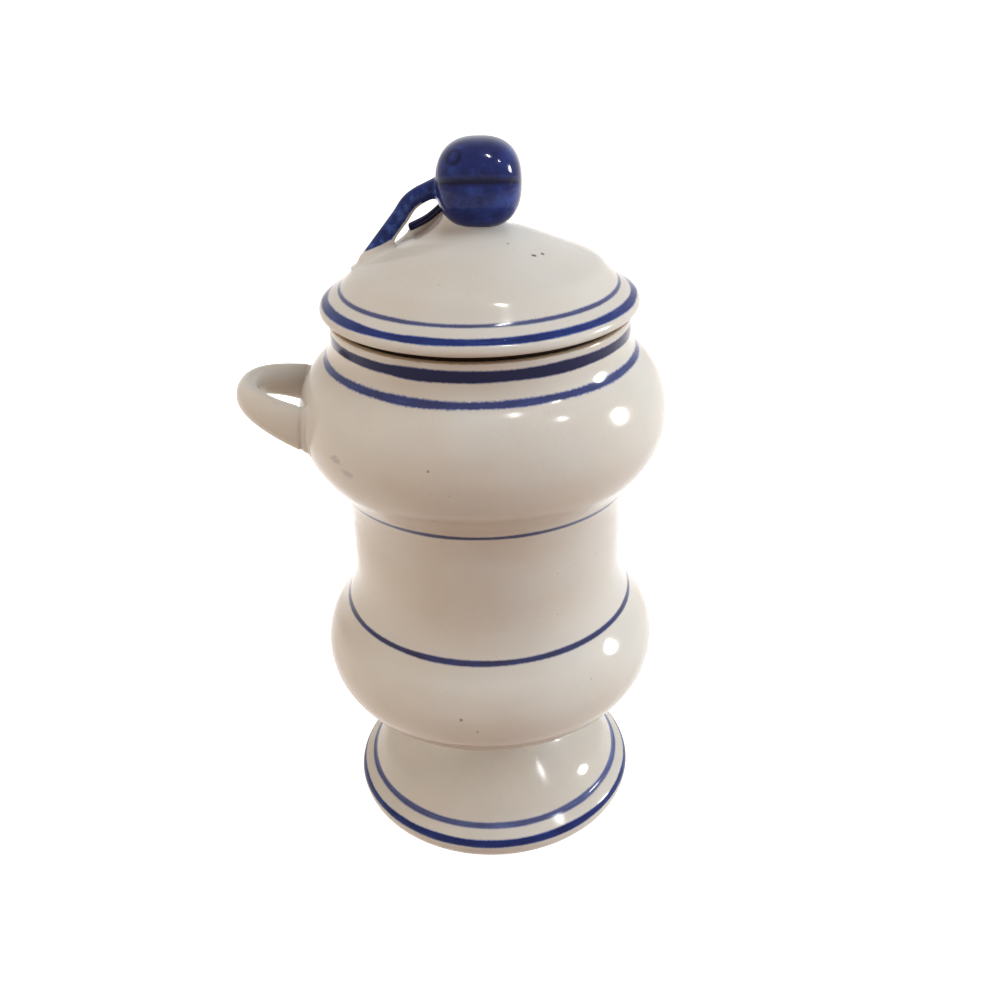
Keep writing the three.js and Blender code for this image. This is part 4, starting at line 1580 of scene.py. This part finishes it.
    def build_stem(self, glaze: CreamGlaze) -> None:
        """Mesh the stem and paint its outer side."""
        vertices, faces = skin_of(self.stem_form, (-50, -14, 206), (-6, 16, 252), self.cell)
        own = self._own(vertices)
        line = self.stem_line()
        spot, share = nearest_on_line(own, line)
        away = own - spot
        tangent = np.gradient(line, axis=0)
        tangent /= np.linalg.norm(tangent, axis=1, keepdims=True)
        marks = np.linspace(0, 1, len(line))
        along = np.column_stack([np.interp(share, marks, tangent[:, k]) for k in range(3)])
        inward = np.cross(along, np.array([0.0, 1.0, 0.0]))
        inner = (away * inward).sum(axis=1)
        above = self.lid.dome(vertices)
        root = 30 * (0.27 - share)
        paint = np.minimum(np.maximum(0.72 * self.stem_radius - inner, root), above - self.bare_above)
        piece = make_object("stem_arch", vertices, faces, {"paint": paint})
        glaze.dress(piece, painted=True)
        place_on_frame(piece, LID_BODY, "cobalt_glaze", "stem")

    def collar_form(self, points: np.ndarray) -> np.ndarray:
        """Distance to the collar's pad, drawn wide and high where the twig leaves it."""
        dome = self.lid.dome(points) + self.sunk
        around = np.arctan2(points[:, 1], points[:, 0]) - math.radians(self.collar_turn)
        share = ((1 - np.cos(around)) / 2) ** self.collar_narrowness

        def between(ends: tuple[float, float]) -> np.ndarray:
            """A size that changes from under the fruit to the twig's side."""
            return ends[0] + (ends[1] - ends[0]) * share

        low, high = between(self.collar_foot), between(self.collar_top)
        foot = self.lid.dome_height(low) - self.collar_sink
        top = self.fruit_foot + between(self.collar_rise)
        climb = np.clip((points[:, 2] - foot) / (top - foot), 0, 1)
        side = low + (high - low) * (1 - (1 - climb) ** 2)
        cone = (np.hypot(points[:, 0], points[:, 1]) - side) * 0.8
        cone = np.maximum(cone, points[:, 2] - top)
        return grown(cone, dome, self.collar_fillet, self.cut - self.sunk)

    def build_collar(self, glaze: CreamGlaze) -> None:
        """Mesh the collar and glaze it."""
        vertices, faces = skin_of(self.collar_form, (-32, -32, 212), (32, 32, 250), self.cell)
        piece = make_object("knob_pad", vertices, faces)
        glaze.dress(piece)
        place_on_frame(piece, LID_BODY, "cream_glaze", "knob_collar")

    def _over_dome(self, turn: float, reach: float, above: float) -> np.ndarray:
        """A point by its turn from -X, distance from the axis and height over the dome."""
        angle = math.pi + math.radians(turn)
        height = float(self.lid.dome_height(np.array([reach]))[0]) + above
        return np.array([reach * math.cos(angle), reach * math.sin(angle), height])

    def twig_line(self) -> np.ndarray:
        """The twig's centre line."""
        start, end = self._over_dome(-24, 10.5, 7.6), self._over_dome(-22, 24.2, 2.9)
        middle = (start + end) / 2 - np.array([0, 0, self.twig_sag])
        return smooth_path([tuple(start), tuple(middle), tuple(end)], 20)

    def twig_form(self, points: np.ndarray) -> np.ndarray:
        """Distance to the twig, with a square cut end and a root in the fruit."""
        line = self.twig_line()
        spot, _ = nearest_on_line(points, line)
        twig = np.linalg.norm(points - spot, axis=1) - self.twig_radius
        along = (line[-1] - line[-4]) / np.linalg.norm(line[-1] - line[-4])
        cut = (points - line[-1]) @ along
        fruit = self.fruit_near(points)
        joined = soft_union(np.maximum(twig, cut), fruit, self.twig_fillet) + 0.03
        return np.maximum(np.maximum(joined, -(fruit + self.cut)), twig - self.twig_fillet)

    def bed_form(self, points: np.ndarray) -> np.ndarray:
        """Distance to the ridge of clay that the twig lies on, from the collar to the dome."""
        line = self.twig_line()
        flat, plan = points.copy(), line.copy()
        flat[:, 2] = plan[:, 2] = 0
        spot, share = nearest_on_line(flat, plan)
        crest = np.interp(share, np.linspace(0, 1, len(line)), line[:, 2]) - self.bed_depth
        off = np.linalg.norm(flat - spot, axis=1)
        over = points[:, 2] - crest
        spread = (off - self.bed_radius + self.bed_slope * over) / math.hypot(1, self.bed_slope)
        ridge = np.where(over > 0, np.hypot(off, over) - self.bed_radius, spread)
        dome = self.lid.dome(points) + self.sunk
        return grown(ridge, dome, self.bed_fillet, self.cut, skin=0.05)

    def build_bed(self, glaze: CreamGlaze) -> None:
        """Mesh the ridge under the twig and glaze it."""
        vertices, faces = skin_of(self.bed_form, (-36, -16, 208), (4, 24, 246), self.cell)
        piece = make_object("twig_bed", vertices, faces)
        glaze.dress(piece)
        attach(piece, LID_BODY)

    def build_twig(self, glaze: CobaltGlaze) -> None:
        """Mesh the twig and glaze it."""
        vertices, faces = skin_of(self.twig_form, (-32, -4, 218), (-2, 18, 248), 0.3)
        load = np.full(len(vertices), self.twig_load)
        piece = make_object("cut_twig", vertices, faces, {"load": load})
        glaze.dress(piece)
        place_on_frame(piece, LID_BODY, "cobalt_glaze", "tendril")


# Surroundings.


@dataclass(frozen=True)
class Lamp:
    """A lamp, given by its direction from the jar and its distance.

    A mirrored one shows in the glaze as a glint, and the others light the clay.
    """

    name: str
    azimuth: float
    elevation: float
    distance: float
    size: tuple[float, float]
    watts: float
    mirrored: bool = False
    colour: Spot = (1.0, 1.0, 1.0)
    target: Spot = (0.0, 0.0, 0.13)

    def hang(self) -> None:
        """Make the lamp and aim it."""
        data = bpy.data.lights.new(self.name, "AREA")
        data.shape = "ELLIPSE"
        data.size, data.size_y = self.size
        data.energy = self.watts
        data.color = self.colour
        lamp = bpy.data.objects.new(self.name, data)
        lamp.visible_glossy = self.mirrored
        lamp.visible_diffuse = not self.mirrored
        across, up = math.radians(self.azimuth), math.radians(self.elevation)
        out = Vector((
            math.sin(across) * math.cos(up), -math.cos(across) * math.cos(up), math.sin(up)
        ))
        lamp.location = Vector(self.target) + out * self.distance
        lamp.rotation_euler = out.to_track_quat("Z", "Y").to_euler()
        bpy.context.scene.collection.objects.link(lamp)


@dataclass(frozen=True)
class Studio:
    """A pale floor, a white surround, soft lamps and small ones that only show as glints."""

    lamps: tuple[Lamp, ...] = (
        Lamp("lamp_overhead", 60, 74, 1.7, SOFT, 7.2, False, DAYLIGHT),
        Lamp("lamp_high", 50, 50, 1.7, SOFT, 5.6),
        Lamp("lamp_window", 92, 16, 1.7, SOFT, 10.4, False, DAYLIGHT),
        Lamp("lamp_near_window", 65, 20, 1.7, SOFT, 6.3, False, DAYLIGHT),
        Lamp("lamp_far_side", -80, 16, 1.7, SOFT, 12.4, False, (1.0, 0.97, 0.86)),
        Lamp("glint_overhead", 38, 71, 1.5, (0.13, 0.3), 12.0, True),
        Lamp("glint_side", 62.5, 46.5, 1.5, (0.1, 0.14), 5.0, True),
        Lamp("glint_window", 92, 17, 1.5, (0.26, 0.36), 26.0, True),
    )
    ambient: float = 0.255
    ambient_tint: Rgba = (1.0, 0.64, 0.5, 1.0)
    floor_size: float = 24.0
    floor_tint: Rgba = (0.6, 0.45, 0.36, 1.0)
    floor_seen: Rgba = (0.9, 0.9, 0.9, 1.0)
    floor_glow: float = 0.88

    def build(self) -> None:
        """Make the floor, the surround and the lamps."""
        for lamp in self.lamps:
            lamp.hang()
        self._world()
        self._floor()

    @staticmethod
    def _seen(sheet: Sheet) -> Socket:
        """1 where the camera looks, straight or by a reflection or through glass, else 0."""
        ray = sheet.add("ShaderNodeLightPath").outputs
        straight = sheet.math("MAXIMUM", ray["Is Camera Ray"], ray["Is Glossy Ray"])
        return sheet.math("MAXIMUM", straight, ray["Is Transmission Ray"])

    def _world(self) -> None:
        """A soft even surround that the camera and the gloss see as white."""
        world = bpy.data.worlds.new("surround")
        bpy.context.scene.world = world
        world.use_nodes = True
        sheet = Sheet(world.node_tree)
        background = world.node_tree.nodes["Background"]
        seen = self._seen(sheet)
        tint = sheet.blend(seen, self.ambient_tint, WHITE)
        strength = sheet.spread(seen, 0.0, 1.0, self.ambient, 1.0, soft=False)
        sheet.give(background, Color=tint, Strength=strength)

    def _floor(self) -> None:
        """A pale floor that keeps the jar's shadow and looks white to the camera."""
        half = self.floor_size / 2
        corners = [(-half, -half, 0), (half, -half, 0), (half, half, 0), (-half, half, 0)]
        mesh = bpy.data.meshes.new("floor")
        mesh.from_pydata(corners, [], [(0, 1, 2, 3)])
        floor = bpy.data.objects.new("floor", mesh)
        bpy.context.scene.collection.objects.link(floor)
        floor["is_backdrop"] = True
        material = bpy.data.materials.new("pale_floor")
        material.use_nodes = True
        sheet = Sheet(material.node_tree)
        shader = material.node_tree.nodes["Principled BSDF"]
        seen = self._seen(sheet)
        sheet.give(
            shader, Base_Color=sheet.blend(seen, self.floor_tint, self.floor_seen), Roughness=0.9,
            Specular_IOR_Level=0.1, Emission_Color=WHITE,
            Emission_Strength=sheet.times(seen, self.floor_glow),
        )
        mesh.materials.append(material)


@dataclass(frozen=True)
class PhotoCamera:
    """The camera, set where the photograph was taken from."""

    distance: float = 355.33
    height: float = 317.17
    pitch: float = 28.167
    yaw: float = 0.822
    roll: float = -1.525
    focal_pixels: float = 1077.93
    picture_pixels: float = 1000.0
    sensor: float = 36.0

    def place(self) -> None:
        """Make the camera and give it to the scene."""
        data = bpy.data.cameras.new("camera")
        data.sensor_width = self.sensor
        data.sensor_fit = "AUTO"
        data.lens = self.focal_pixels * self.sensor / self.picture_pixels
        data.clip_start = 0.01
        data.clip_end = 100.0
        camera = bpy.data.objects.new("camera", data)
        pitch, yaw, roll = (math.radians(a) for a in (self.pitch, self.yaw, self.roll))
        ahead = Vector((
            math.sin(yaw) * math.cos(pitch), math.cos(yaw) * math.cos(pitch), -math.sin(pitch)
        ))
        level = Vector((math.cos(yaw), -math.sin(yaw), 0))
        above = level.cross(ahead)
        right = math.cos(roll) * level + math.sin(roll) * above
        up = -math.sin(roll) * level + math.cos(roll) * above
        turned = Matrix((right, up, -ahead)).transposed()
        spot = Vector((AXIS_X, -self.distance, self.height)) * MM
        camera.matrix_world = Matrix.Translation(spot) @ turned.to_4x4()
        bpy.context.scene.collection.objects.link(camera)
        bpy.context.scene.camera = camera


def write_sizes() -> None:
    """Log the frame's box and the dressed jar's box."""
    boxes = {"cad": CAD_BOUNDS, "visual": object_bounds()}
    plain = {name: [list(map(float, corner)) for corner in box] for name, box in boxes.items()}
    LOG.info("sizes %s", plain)


def main() -> None:
    """Build the jar, its lid and their surroundings in order."""
    logging.basicConfig(level=logging.INFO, format="%(name)s: %(message)s")
    bpy.context.scene.view_settings.view_transform = "Standard"
    PhotoCamera().place()
    Studio().build()
    effects = EffectLibrary()
    cream, cobalt = CreamGlaze(effects), CobaltGlaze(effects)
    body = DoubleBulbBody()
    body.build(cream)
    SpreadingFoot().build(cream)
    LoopHandle(body).build(cream)
    lid = DomedLid()
    lid.build(cream)
    knob = FruitKnob(lid)
    knob.build_collar(cream)
    knob.build_fruit(cobalt)
    knob.build_stem(cream)
    knob.build_bed(cream)
    knob.build_twig(cobalt)
    bpy.context.view_layer.update()
    write_sizes()


if __name__ == "__main__":
    main()
